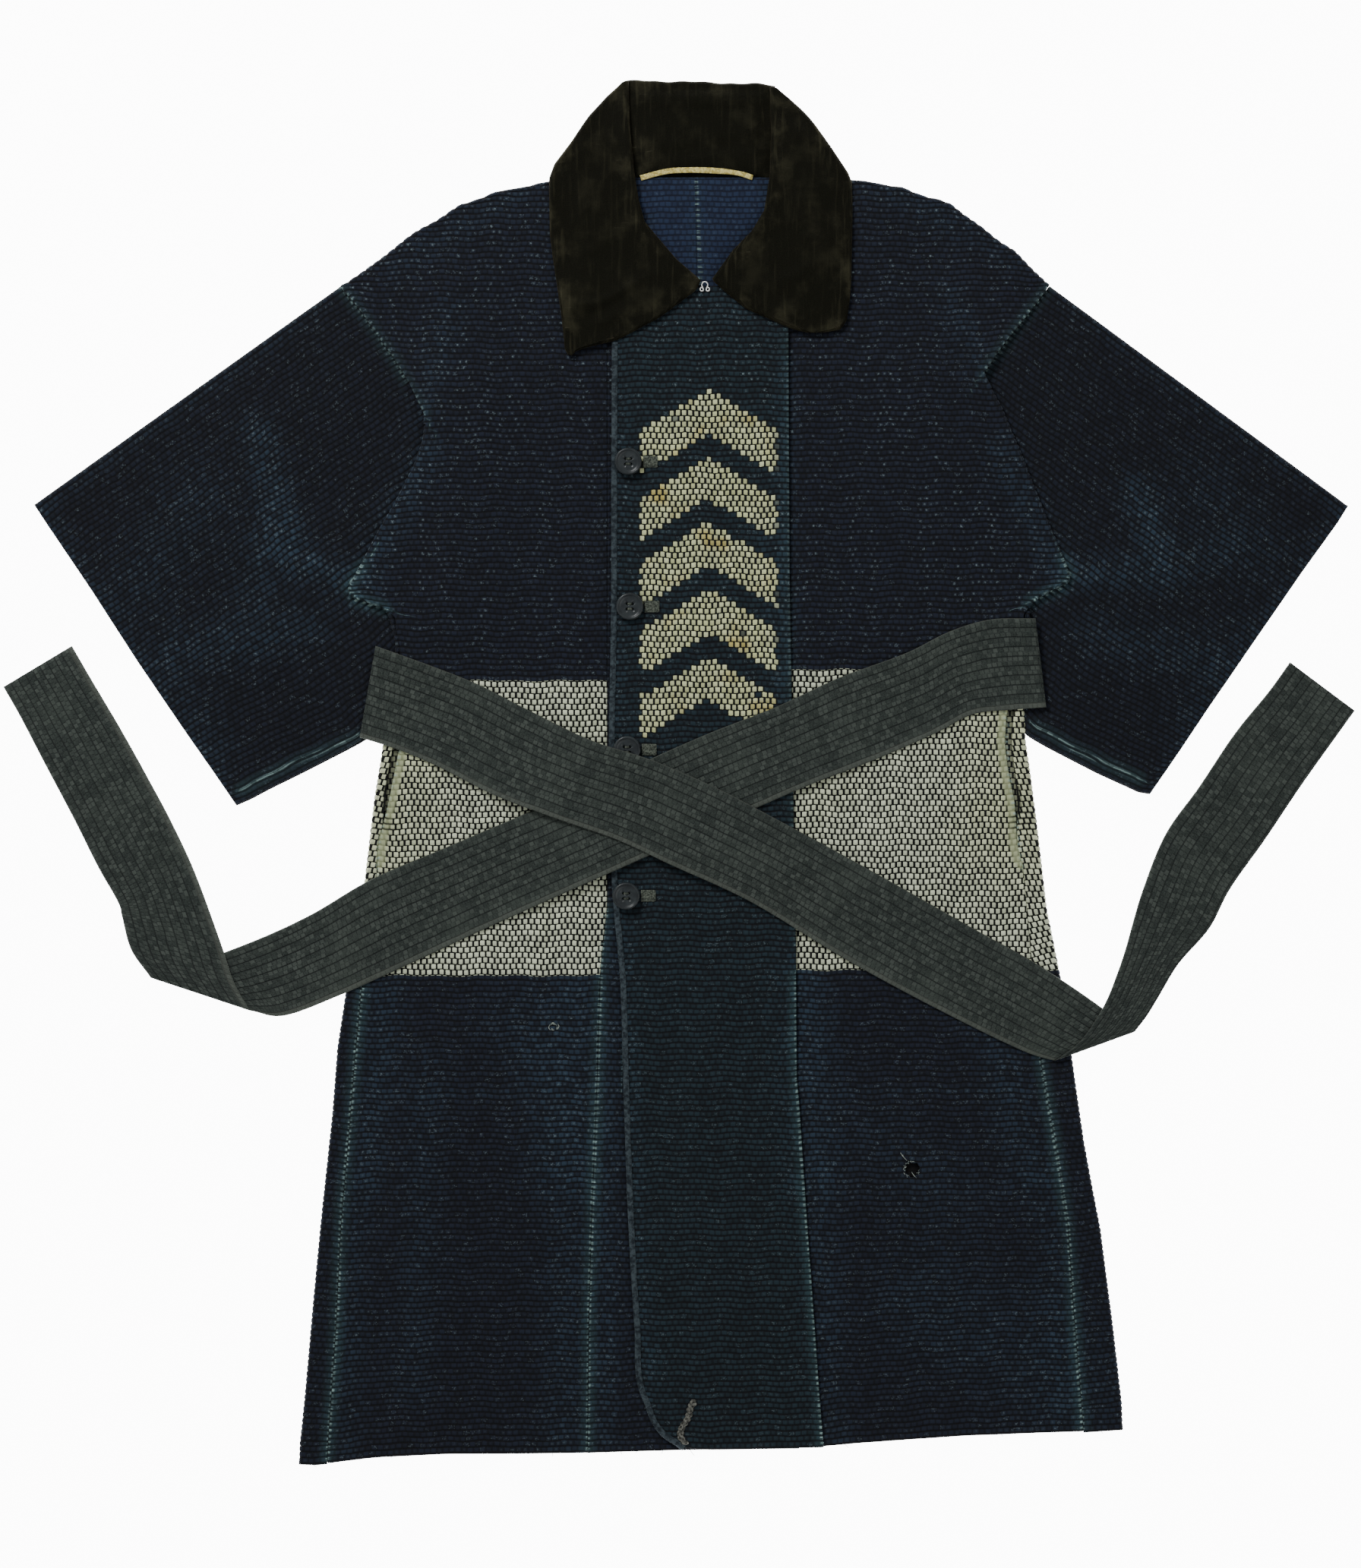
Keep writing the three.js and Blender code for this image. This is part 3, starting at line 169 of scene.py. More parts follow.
class Shell:
    """Grids of outer and inner points that together make one closed piece of cloth."""

    def __init__(self):
        self.points, self.uvs, self.faces = [], [], []
        self.count = 0

    def add(self, outer, inner, uv, keep=None, joined=()):
        """joined names the edges that meet another grid: each is (side, mask of segments)."""
        rows, columns = outer.shape[:2]
        if keep is None:
            keep = np.ones((rows - 1, columns - 1), dtype=bool)
        index = np.arange(rows * columns).reshape(rows, columns) + self.count
        below = index + rows * columns
        along = outer[1:, :-1] - outer[:-1, :-1]
        across = outer[:-1, 1:] - outer[:-1, :-1]
        thickness = outer[:-1, :-1] - inner[:-1, :-1]
        facing = np.sum(np.cross(across, along) * thickness) > 0

        def quads(a, b, c, d, forward):
            order = (a, b, c, d) if forward else (a, d, c, b)
            self.faces.append(np.stack(order, axis=-1).reshape(-1, 4))

        quads(
            index[:-1, :-1][keep], index[:-1, 1:][keep],
            index[1:, 1:][keep], index[1:, :-1][keep], facing,
        )
        quads(
            below[:-1, :-1][keep], below[:-1, 1:][keep],
            below[1:, 1:][keep], below[1:, :-1][keep], not facing,
        )
        held = dict(joined)
        empty = np.zeros((1, columns - 1), dtype=bool)
        beyond = np.vstack([empty, keep, empty])
        first = beyond[1:] & ~beyond[:-1]
        last = beyond[:-1] & ~beyond[1:]
        if "last" in held:
            last[-1] &= ~held["last"]
        if "first" in held:
            first[0] &= ~held["first"]
        for mask, forward in ((first, facing), (last, not facing)):
            quads(
                below[:, :-1][mask], below[:, 1:][mask],
                index[:, 1:][mask], index[:, :-1][mask], forward,
            )
        empty = np.zeros((rows - 1, 1), dtype=bool)
        beyond = np.hstack([empty, keep, empty])
        near = beyond[:, 1:] & ~beyond[:, :-1]
        far = beyond[:, :-1] & ~beyond[:, 1:]
        if "far" in held:
            far[:, -1] &= ~held["far"]
        if "near" in held:
            near[:, 0] &= ~held["near"]
        for mask, forward in ((near, not facing), (far, facing)):
            quads(
                below[:-1][mask], below[1:][mask], index[1:][mask], index[:-1][mask], forward,
            )
        self.points += [outer.reshape(-1, 3), inner.reshape(-1, 3)]
        self.uvs += [uv.reshape(-1, 2)] * 2
        self.count += 2 * rows * columns
        return self

    def build(self, name, material, facts=None):
        """The object, with points that coincide made one."""
        points = np.vstack(self.points)
        uvs = np.vstack(self.uvs)
        faces = np.vstack(self.faces)
        keys = np.round(points / 0.02).astype(np.int64)
        unique, chosen, inverse = np.unique(keys, axis=0, return_index=True, return_inverse=True)
        faces = inverse.ravel()[faces]
        good = []
        for face in faces.tolist():
            ring = [corner for k, corner in enumerate(face) if corner != face[k - 1]]
            if len(ring) > 2 and len(set(ring)) == len(ring):
                good.append(ring)
        used = np.unique(np.concatenate([np.array(ring) for ring in good]))
        place = np.full(len(chosen), -1)
        place[used] = np.arange(len(used))
        points, uvs = points[chosen][used], uvs[chosen][used]
        good = [[int(place[corner]) for corner in ring] for ring in good]
        values = facts(points, uvs) if facts else None
        return make_object(name, points, good, uvs, material, values)


# Sections of edges, from the piece's end inwards: how far in the outer and inner points lie,
# which way they face (1 up, -1 down), and the share of the thickness that is left
def raw_section(count=7):
    """A cut or turned edge, slightly rounded."""
    depths = np.concatenate([[0, 0.35, 1.1], np.linspace(1.4, FOLD, count - 3)])
    shares = np.concatenate([[0.3, 0.8, 1], np.ones(count - 3)])
    return np.stack([depths, depths, np.ones(count), shares], axis=1)


def fold_section(thick=CLOTH, radius=FOLD, back=10, count=7):
    """A fold whose cloth runs back under the piece."""
    turns = np.radians(np.linspace(180, 0, count - 2))
    inner = radius - thick
    rows = [[back, back, -1, 0.3], [back - 1, back - 1, -1, 1]]
    for turn in turns:
        sine = math.sin(turn)
        rows.append([radius * (1 - sine), radius - inner * sine, math.cos(turn), 1])
    return np.array(rows)


def half_section(start=90, end=0, count=7):
    """Part of a fold that another piece carries on."""
    rows = []
    for turn in np.radians(np.linspace(start, end, count)):
        sine = math.sin(turn)
        rows.append([FOLD * (1 - sine), FOLD - (FOLD - CLOTH) * sine, math.cos(turn), 1])
    return np.array(rows)


def by_row(v, sections):
    """One section for each row: sections are (from this v on, section), in rising order."""
    chosen = np.zeros((len(v),) + sections[0][1].shape)
    for start, section in sections:
        chosen[v >= start] = section
    return chosen


def rib_rows(first, last):
    """Places of the rows from one end to the other, three to a rib, and which are grooves."""
    v, groove = [first + depth for depth in END_DEPTHS], [0, 0, 0]
    for rib in range(int(first / PITCH) - 1, int(last / PITCH) + 2):
        for share, low in RIB_ROWS:
            place = (rib + share) * PITCH
            if first + END_CLEAR < place < last - END_CLEAR:
                v.append(place)
                groove.append(low)
    v += [last - depth for depth in reversed(END_DEPTHS)]
    groove += [0, 0, 0]
    return np.array(v), np.array(groove, dtype=float), end_thinning(len(v))


def end_thinning(count):
    """Share of the thickness by row: less at both ends."""
    thin = np.ones(count)
    thin[:3] = thin[::-1][:3] = END_SHARES
    return thin


class Frame:
    """Axes of a piece's own plane: u along the ribs, v across them."""

    def __init__(self, x=0, y=0, along=(1, 0)):
        length = math.hypot(*along)
        self.origin = np.array([x, y], dtype=float)
        self.along = np.array(along, dtype=float) / length

    def across(self, flip):
        return np.array([-self.along[1], self.along[0]]) * flip

    def out(self, u, v, flip=1):
        across = self.across(flip)
        return (
            self.origin[0] + u * self.along[0] + v * across[0],
            self.origin[1] + u * self.along[1] + v * across[1],
        )

    def inside(self, points, flip=1):
        across = self.across(flip)
        return [
            (
                (x - self.origin[0]) * self.along[0] + (y - self.origin[1]) * self.along[1],
                (x - self.origin[0]) * across[0] + (y - self.origin[1]) * across[1],
            )
            for x, y in points
        ]


def at(points, v):
    """The u of a line of (u, v) points at each v."""
    ordered = sorted(points, key=lambda point: point[1])
    return np.interp(v, [point[1] for point in ordered], [point[0] for point in ordered])


def ripple(u, v, first, last):
    """How far the ribs waver across their line, none at the two ends."""
    wave = 0.55 * np.sin(0.19 * u + 1.7 * np.sin(0.023 * v)) + 0.4 * np.sin(0.083 * u + 0.031 * v)
    room = np.clip((v - first) / 12, 0, 1) * np.clip((last - v) / 12, 0, 1)
    return wave * room


def outward(u, v, toward):
    """Unit normals of a row of end points, away from the piece's other end."""
    along_u, along_v = np.gradient(u), np.gradient(v)
    length = np.maximum(np.hypot(along_u, along_v), 1e-9)
    normal_u, normal_v = along_v / length, -along_u / length
    sign = np.where(normal_u * toward >= 0, 1, -1)
    return normal_u * sign, normal_v * sign


def cloth_grid(
    v, thin, groove, near, far, shares, near_section, far_section, top, low=None,
    thick=CLOTH, radius=FOLD, facing=1, warp=None, axes=Frame(), flip=1, depth=RIB_DEPTH,
    v_inner=None, v_uv=None,
):
    """Outer and inner points and uvs of a piece, by its rows.

    near and far are (u, v) lines of its ends, shares the places of the columns between them.
    The sections give the columns at each end. facing is 1 where the outer side is up, and it may
    go by row, as round a tube, where v_inner gives the rows of the inner side.
    """
    count = len(v)
    if near_section.ndim == 2:
        near_section = np.repeat(near_section[None], count, axis=0)
    if far_section.ndim == 2:
        far_section = np.repeat(far_section[None], count, axis=0)
    near_u = near if isinstance(near, np.ndarray) else at(near, v)
    far_u = far if isinstance(far, np.ndarray) else at(far, v)
    toward = np.sign(np.mean(far_u - near_u))
    near_nu, near_nv = outward(near_u, v, -toward)
    far_nu, far_nv = outward(far_u, v, toward)
    near_in, far_in = near_section[:, -1, 0], far_section[:, -1, 0]
    start_u, start_v = near_u - near_nu * near_in, v - near_nv * near_in
    end_u, end_v = far_u - far_nu * far_in, v - far_nv * far_in
    facing = np.broadcast_to(np.asarray(facing, dtype=float), (count,))
    slip = 0 if v_inner is None else v_inner - v
    ends_v = (np.min(v), np.max(v))

    def bent(u, place):
        moved = place + (ripple(u, place, *ends_v) if depth and np.any(groove) else 0)
        return moved + (warp(u, place) if warp else 0)

    def heights(u, place):
        x, y = axes.out(u, bent(u, place), flip)
        high = top(x, y)
        under = high - 2 * radius if low is None else low(x, y)
        half = np.maximum((high - under) / 2, thick + 0.1)
        return under + half, half

    columns = []

    def column(outer, inner, face, share, level, u_flat, v_flat):
        mid, half = level
        outer_z = mid + half * face
        inner_z = mid + (half - thick) * face
        centre = (outer_z + inner_z) / 2
        left = share * thin
        outer_z = centre + (outer_z - centre) * left
        inner_z = centre + (inner_z - centre) * left
        points = []
        for (u, place), z in ((outer, outer_z), ((inner[0], inner[1] + slip), inner_z)):
            x, y = axes.out(u, bent(u, place), flip)
            points.append(np.stack([x, y, z], axis=-1))
        turned = points[0] - points[1]
        turned /= np.maximum(np.linalg.norm(turned, axis=-1, keepdims=True), 1e-9)
        points[0] = points[0] - turned * (depth * groove * left)[:, None]
        columns.append((points[0], points[1], u_flat, v_flat))

    def ends(section, edge_u, normal_u, normal_v, base_u, base_v, order):
        level = heights(base_u, base_v)
        for k in order:
            out_in, in_in, face, share = (section[:, k, part] for part in range(4))
            outer = (edge_u - normal_u * out_in, v - normal_v * out_in)
            inner = (edge_u - normal_u * in_in, v - normal_v * in_in)
            past = np.where(face < 0.99, section[:, -1, 0] + (1 - face) * radius, -out_in)
            past = past + np.where(face < -0.99, np.maximum(out_in - radius, 0), 0)
            sign = np.sign(normal_u)
            column(outer, inner, face * facing, share, level, edge_u + sign * past, v)

    size = near_section.shape[1]
    ends(near_section, near_u, near_nu, near_nv, start_u, start_v, range(size - 1))
    for share in shares:
        u = start_u + (end_u - start_u) * share
        place = v + (start_v - v) * (1 - share) ** 12 + (end_v - v) * share**12
        column((u, place), (u, place), facing, 1.0, heights(u, place), u, v)
    size = far_section.shape[1]
    ends(far_section, far_u, far_nu, far_nv, end_u, end_v, range(size - 2, -1, -1))
    outer = np.stack([entry[0] for entry in columns], axis=1)
    inner = np.stack([entry[1] for entry in columns], axis=1)
    if v_uv is None:
        v_uv = v
    uv = np.stack(
        [
            np.stack([entry[2] for entry in columns], axis=1),
            np.repeat(np.asarray(v_uv)[:, None], len(columns), axis=1),
        ],
        axis=-1,
    )
    return outer, inner, uv * MM


# Outlines, as (x, y) points from the hem up
HEM = {
    "right": [
        (-330, -565), (-296, -565), (-247, -559), (-190, -556.3), (-74, -555.5), (3, -553),
        (60, -552.5),
    ],
    "left": [
        (3, -553), (117, -550.5), (143, -547.6), (236, -541), (353, -537), (380, -536.5),
    ],
}
SEAM = {
    "right": [
        (-287, -567), (-285.3, -530), (-279.5, -450), (-275.5, -370), (-269.5, -300), (-264.5, -240),
        (-258, -170), (-246.3, -84), (-245.2, -60), (-241.6, -44), (-237.5, -26.7), (-233.7, -9),
        (-228.4, 16), (-223, 46), (-226.5, 90), (-231.5, 126),
    ],
    "left": [
        (331, -567), (328.8, -530), (322.3, -450), (317, -370), (306.5, -300), (295.7, -240),
        (289, -170), (280.4, -79), (275.5, -60), (275, -41), (273.7, -25), (270.3, -9.6), (267.8, 4),
        (265.4, 24), (267, 46), (276.5, 90), (281, 128),
    ],
}
PLEAT = {
    "right": [
        (-236, 131), (-245, 134.4), (-261, 138.8), (-268.5, 143.5), (-269.7, 149.7), (-265, 159),
        (-259, 169.6), (-245, 197), (-231.3, 221), (-217.3, 246.5), (-209.5, 268), (-207.4, 282),
    ],
    "left": [
        (284.5, 134), (293, 142), (306, 148.6), (316.5, 153), (318.7, 159), (314.5, 172),
        (303.8, 197.5), (291.4, 228.5), (279, 259), (263.5, 296), (256, 310),
    ],
}
SHOULDER = {
    "right": [
        (-207.4, 292), (-219, 316), (-233, 337.6), (-254.8, 369), (-276.5, 396), (-259.2, 407),
        (-235.6, 425.6), (-209, 444.2), (-178.6, 462.8), (-144.5, 474), (-106, 481.5), (-62, 486),
    ],
    "left": [
        (248.3, 325.5), (265, 348), (282, 370.5), (302.3, 396.5), (292.6, 407), (273.4, 425.6),
        (247, 444.2), (222.6, 462.8), (180, 477.5), (141.6, 483), (97, 486),
    ],
}
EDGE = {
    "right": [
        (-310.5, -567), (-309.6, -541), (-305.7, -504.4), (-298.8, -430), (-291.4, -355.6),
        (-283.3, -281.2), (-279, -225.4), (-273.4, -188.2), (-264, -132), (-256.7, -89), (-253, -58),
        (-248.6, -20.8), (-241.8, 20.8), (-237, 60), (-231, 102), (-236, 126),
    ],
    "left": [
        (363, -567), (361.5, -523), (353.4, -448.6), (344.1, -374.2), (330.5, -299.8), (322.4, -244),
        (311.9, -169.6), (300.7, -113.8), (292, -39.4), (287.1, -2.2), (282.7, 27), (281, 60),
        (281.5, 102), (286, 128),
    ],
}
ARMHOLE = {
    "right": [
        (-241, 133), (-214, 185), (-203, 240), (-207.4, 291),
    ],
    "left": [
        (287, 134), (258, 178), (240, 235), (238, 290), (247, 322),
    ],
}
CENTRE_BACK = [(14, 500), (21, -575)]
UNDER_SEAM = [
    (-74.4, -567), (-74, -507), (-73.3, -450), (-71.4, -375), (-66.5, -250), (-63.8, -160),
    (-58.6, -110), (-58.3, 160), (-58.3, 440), (-60, 490),
]
OVER_SEAM = [
    (119, -567), (114.3, -507), (110.4, -450), (105, -375), (98, -270), (96, -250), (95.3, -141),
    (94.5, -100), (90.2, 160), (89, 420), (89, 452), (94, 490),
]
OVER_EDGE = [
    (12, -555.4), (3.1, -552.3), (-3.7, -547.4), (-13, -541.3), (-22.5, -528.6), (-27.3, -515.4),
    (-31.1, -506.2), (-35.7, -451.5), (-40.3, -375.4), (-44.8, -253.6), (-47.9, -162.1),
    (-51.8, -119.7), (-53.3, -101.4), (-54.5, 160), (-54, 420),
]
UNDER_EDGE = [(98, -567), (98, -507), (94, -450), (90, -375), (84, -160), (84, 420)]

# Where the body's rows change, by height
SHOULDER_ROW = 397  # from here up the front and the back are one fold
ARMPIT_ROW = 131  # from here up the back ends in the armhole's seam
PLEAT_ROW = 134  # from here up the front's edge is a folded pleat
PLEAT_TOP = {"right": 282, "left": 312}
PLEAT_BACK = 12  # how far the pleat runs back
GUARD = 0.2  # between the back's wrapped edge and the front
SLIT = {"width": 5.5, "low": -43, "run": 45, "top": 128}  # a pocket's slit, by height
WRAP_MIN = 4
FLIPPED = np.array([1, 1, -1, 1])  # a section that faces the other way


# Creases given one by one, on top of the soft folds that the CAD has: x and y of the two ends of a
# line, its width and its height
CREASES = [
    (-186, 378, -204, 300, 9, 1.3), (-204, 300, -207, 276, 8, 1.1), (-160, 352, -168, 262, 16, 0.9),
    (-120, 420, -128, 330, 20, -0.8), (-214, 118, -176, 196, 13, 1.1),
    (-228, 148, -196, 214, 10, -0.9), (-140, 60, -178, 176, 18, 0.8),
    (-206, -230, -219, -505, 13, 0.9), (-240, -300, -252, -520, 10, -0.8),
    (-122, -300, -136, -525, 15, 0.8), (-88, -180, -104, -330, 12, -0.7),
    (-150, -200, -196, -262, 12, 0.7), (222, 388, 246, 322, 9, 1.3), (200, 400, 212, 318, 12, -0.9),
    (176, 330, 196, 226, 16, 0.9), (230, 246, 204, 150, 12, 0.9), (296, 172, 262, 232, 10, -1.0),
    (216, -246, 246, -470, 13, 1.0), (262, -230, 282, -500, 12, -0.8), (150, -310, 158, -520, 14, 0.8),
    (128, -190, 136, -300, 12, -0.6), (172, -170, 226, -236, 12, 0.7), (22, -180, 38, -470, 16, 0.8),
    (-10, -220, -4, -420, 12, -0.6), (62, -200, 72, -360, 14, 0.6), (20, 330, 40, 180, 24, 0.5),
]


def creased(base, lines):
    """A height field with creases: each is high along its line and fades at its ends."""

    def height(x, y):
        raised = base(x, y)
        for start_x, start_y, end_x, end_y, width, rise in lines:
            run_x, run_y = end_x - start_x, end_y - start_y
            length = math.hypot(run_x, run_y)
            part = ((x - start_x) * run_x + (y - start_y) * run_y) / length**2
            bend = 0.08 * length * np.sin(part * math.pi * 1.7)
            away = ((x - start_x) * run_y - (y - start_y) * run_x) / length - bend
            fade = np.clip(1.25 - np.abs(part - 0.5) * 2.1, 0, 1)
            fade = fade * fade * (3 - 2 * fade)
            raised = raised + rise * fade * np.exp(-((away / width) ** 2) * 1.6)
        return raised

    return height


def hem_warp(hem, level, reach=230):
    """Moves rows near the hem on to the hem's line."""

    def warp(u, v):
        x = [point[0] for point in hem]
        drop = np.interp(u, x, [point[1] for point in hem]) - level
        part = np.clip((level + reach - v) / reach, 0, 1)
        return drop * part * part * (3 - 2 * part)

    return warp


ROW_TOP = 484.6
LEVEL = {"right": -558, "left": -544}  # the lowest row, which the hem's line then bends
EVEN = np.linspace(0, 1, 26)
HOLE_SHARE = 0.427  # the hole's place between the columns
NEAR_HOLE = HOLE_SHARE + np.linspace(-0.036, 0.036, 10)
FRONT_SHARES = {
    "right": EVEN,
    "left": np.sort(np.concatenate([EVEN[np.abs(EVEN - HOLE_SHARE) > 0.045], NEAR_HOLE])),
}


def body(side, material, facts):
    """A body half: front and back in one length over the shoulder fold."""
    name = "body_" + side
    top = Heights(name)
    low = Heights(name, underside=True)
    folded = creased(top, CREASES)
    v, groove, thin = rib_rows(LEVEL[side], ROW_TOP)

    def front_low(x, y):
        near_shoulder = np.clip((y - SHOULDER_ROW + 12) / 12, 0, 1)
        under = folded(x, y) - 2 * FOLD
        return under * (1 - near_shoulder) + low(x, y) * near_shoulder

    shell = Shell()
    sections = by_row(v, [
        (-999, raw_section()),
        (PLEAT_ROW, fold_section(back=PLEAT_BACK)),
        (PLEAT_TOP[side], raw_section()),
        (SHOULDER_ROW, half_section()),
    ])
    over = v[:-1] >= SHOULDER_ROW
    warp = hem_warp(HEM[side], LEVEL[side])
    seam = UNDER_SEAM if side == "right" else OVER_SEAM
    outer_line = SEAM[side] + PLEAT[side] + SHOULDER[side]
    back_line = EDGE[side] + ARMHOLE[side] + SHOULDER[side]
    grid = cloth_grid(
        v, thin, groove, seam, outer_line, FRONT_SHARES[side], raw_section(5), sections,
        folded, front_low, warp=warp,
    )
    keep = None
    if side == "left":
        x, y, radius = HOLE
        grid, keep = with_hole(grid, x, y, radius)
    shell.add(*grid, keep=keep, joined=[("far", over)])

    wrap = np.abs(at(back_line, v) - at(outer_line, v))
    opening = SLIT["width"] * np.clip((v - SLIT["low"]) / SLIT["run"], 0, 1)
    wrap = np.maximum(np.where(v < SLIT["top"], wrap - opening, 0), WRAP_MIN)
    count = 13
    turned = half_section(start=180, end=0, count=7)[::-1] * FLIPPED
    back_sections = np.zeros((len(v), count, 4))
    for row, (place, width) in enumerate(zip(v, wrap)):
        if place >= SHOULDER_ROW:
            back_sections[row] = half_section(start=90, end=180, count=count) * FLIPPED
        elif place >= ARMPIT_ROW:
            back_sections[row] = raw_section(count)
        else:
            ends = [(width - GUARD - depth, share) for depth, share in zip(END_DEPTHS, END_SHARES)]
            ends += [(FOLD + (width - FOLD) * share, 1) for share in (0.6, 0.3)] + [(FOLD + 0.2, 1)]
            back_sections[row, :6] = [[depth, depth, -1, share] for depth, share in ends]
            back_sections[row, 6:] = turned
    grid = cloth_grid(
        v, thin, groove, CENTRE_BACK, back_line, np.linspace(0, 1, 9), raw_section(5),
        back_sections, top, low, facing=-1, warp=warp,
    )
    shell.add(*grid, joined=[("far", over)])
    placed(shell.build(name + "_cloth", material, facts), name)


def with_hole(grid, x, y, radius):
    """The grid with the points round a hole moved on to its edge, and the mask of what is left."""
    outer, inner, uv = grid
    away_x, away_y = outer[..., 0] - x, outer[..., 1] - y
    distance = np.maximum(np.hypot(away_x, away_y), 1e-6)
    angle = np.arctan2(away_y, away_x)
    edge = radius * (1 + 0.1 * np.sin(3 * angle) + 0.06 * np.sin(7 * angle + 1))
    inside = distance < edge
    middle = (
        inside[:-1, :-1].astype(int) + inside[1:, :-1] + inside[:-1, 1:] + inside[1:, 1:]
    )
    keep = middle < 3
    scale = np.where(inside, edge / distance, 1)
    for points in (outer, inner):
        points[..., 0] = np.where(inside, x + away_x * scale, points[..., 0])
        points[..., 1] = np.where(inside, y + away_y * scale, points[..., 1])
    return (outer, inner, uv), keep


# Sleeves: body end, cuff and lower fold, as (x, y)
SLEEVE_NEAR = {
    "right": [
        (-276.5, 396), (-251, 366), (-228, 335), (-200, 292), (-198, 240), (-206, 185),
        (-222, 134), (-226, 104), (-240, 60), (-255, 26.5),
    ],
    "left": [
        (302.3, 396.5), (279, 368), (243, 322), (232, 290), (234, 235), (248, 178),
        (268, 134), (274, 104), (276, 60), (280, 28),
    ],
}
SLEEVE_FAR = {
    "right": [
        (-526, 218), (-515.8, 202.4), (-478, 146.6), (-442.1, 90.8), (-404.2, 35),
        (-378.2, -2.2), (-360.8, -27.6),
    ],
    "left": [
        (545.8, 217), (537.5, 203.6), (508.4, 163.2), (471.2, 109.4), (432.8, 53.6),
        (408, 16.4), (384, -18.3),
    ],
}
SLEEVE_LOW = {
    "right": [(-258, 24), (-270.3, 17.5), (-307.5, -1.5), (-333, -14), (-348, -22), (-360.8, -27.6)],
    "left": [(284, 28), (305, 17), (341, -1.5), (364, -12), (375, -17), (384, -18.3)],
}
SLEEVE_AXES = {
    "right": (Frame(-276.5, 396, (-249.5, -178)), 1),
    "left": (Frame(302.3, 396.5, (243.5, -179.5)), -1),
}
SLEEVE_DEPTH = 65 * PITCH
SLEEVE_CREASES = [
    (-262, 152, -330, 182, 8, 2.3), (-343, 276, -317, 180, 8, 2.0), (-300, 118, -380, 104, 12, 1.3),
    (-286, 96, -346, 62, 11, -1.0), (-388, 226, -424, 172, 14, 1.2), (-300, 226, -310, 168, 10, -1.0),
    (-430, 172, -452, 118, 12, -0.9), (-360, 196, -402, 130, 14, 1.0), (-300, 58, -352, 24, 12, 0.9),
    (-250, 300, -300, 250, 14, 0.8), (-470, 214, -500, 190, 12, 0.6), (318, 160, 396, 166, 8, 2.1),
    (373, 228, 399, 160, 8, 2.0), (396, 164, 448, 184, 9, 1.4), (340, 112, 424, 92, 12, 1.2),
    (318, 92, 378, 56, 11, -0.9), (336, 236, 352, 178, 11, -1.0), (430, 236, 470, 190, 14, 1.0),
    (404, 130, 440, 92, 12, 0.9), (330, 58, 380, 26, 12, 0.8), (300, 306, 340, 262, 14, 0.8),
    (476, 190, 500, 156, 12, -0.7),
]


def tube_rows(depth, radius, thick):
    """Rows round a flat tube by their distance s from its first fold, along the cloth.

    Gives s, the outer and inner places across, which way they face, and which are grooves.
    """
    start = radius - math.pi * radius
    low_fold = depth - radius
    turned = low_fold + math.pi * radius
    end = turned + (low_fold - radius)
    places = {(rib + share) * PITCH: low for rib in range(-2, int(end / PITCH) + 2)
              for share, low in RIB_ROWS}
    for turn in np.linspace(0, math.pi, 7):
        places.setdefault(radius - turn * radius, 0)
        places.setdefault(low_fold + turn * radius, 0)
    s = np.array(sorted(place for place in places if start <= place <= end + 1e-6))
    if s[-1] < end:
        s = np.append(s, end)
        places[end] = 0
    groove = np.array([places[place] for place in s], dtype=float)
    outer, inner, facing = [], [], []
    for place in s:
        if place < radius:
            turn, fold = (radius - place) / radius, -1
        elif place <= low_fold:
            turn, fold = 0, 0
        elif place < turned:
            turn, fold = (place - low_fold) / radius, 1
        else:
            turn, fold = math.pi, 0
        facing.append(math.cos(turn))
        if fold:
            bulge, hollow = radius * math.sin(turn), (radius - thick) * math.sin(turn)
            base = radius if fold < 0 else low_fold
            outer.append(base + fold * bulge)
            inner.append(base + fold * hollow)
        else:
            flat_place = place if turn == 0 else low_fold - (place - turned)
            outer.append(flat_place)
            inner.append(flat_place)
    return s, np.array(outer), np.array(inner), np.array(facing), groove


def sleeve(side, material, facts):
    """A sleeve: one piece folded at its top edge and joined at the underarm."""
    name = "sleeve_" + side
    axes, flip = SLEEVE_AXES[side]
    top = creased(Heights(name), SLEEVE_CREASES)
    low = Heights(name, underside=True)
    lower = sorted(axes.inside(SLEEVE_LOW[side], flip))

    def warp(u, v):
        line = np.interp(u, [point[0] for point in lower], [point[1] for point in lower])
        part = np.clip((v - 110) / (SLEEVE_DEPTH - 110), 0, 1)
        return (line - SLEEVE_DEPTH) * part * part * (3 - 2 * part)

    def nominal(points):
        inside = axes.inside(points, flip)
        return [(u, v - float(warp(np.array(u), np.array(v)))) for u, v in inside]

    s, outer, inner, facing, groove = tube_rows(SLEEVE_DEPTH, FOLD, CLOTH)
    near = at(nominal(SLEEVE_NEAR[side]), outer)
    far = at(nominal(SLEEVE_FAR[side]), outer)
    grid = cloth_grid(
        outer, np.ones(len(s)), groove, near, far, np.linspace(0, 1, 38), raw_section(5),
        raw_section(5), top, low, facing=facing, warp=warp, axes=axes, flip=flip,
        v_inner=inner, v_uv=s,
    )
    all_columns = np.ones(grid[0].shape[1] - 1, dtype=bool)
    shell = Shell().add(*grid, joined=[("first", all_columns), ("last", all_columns)])
    placed(shell.build(name + "_cloth", material, facts), name)


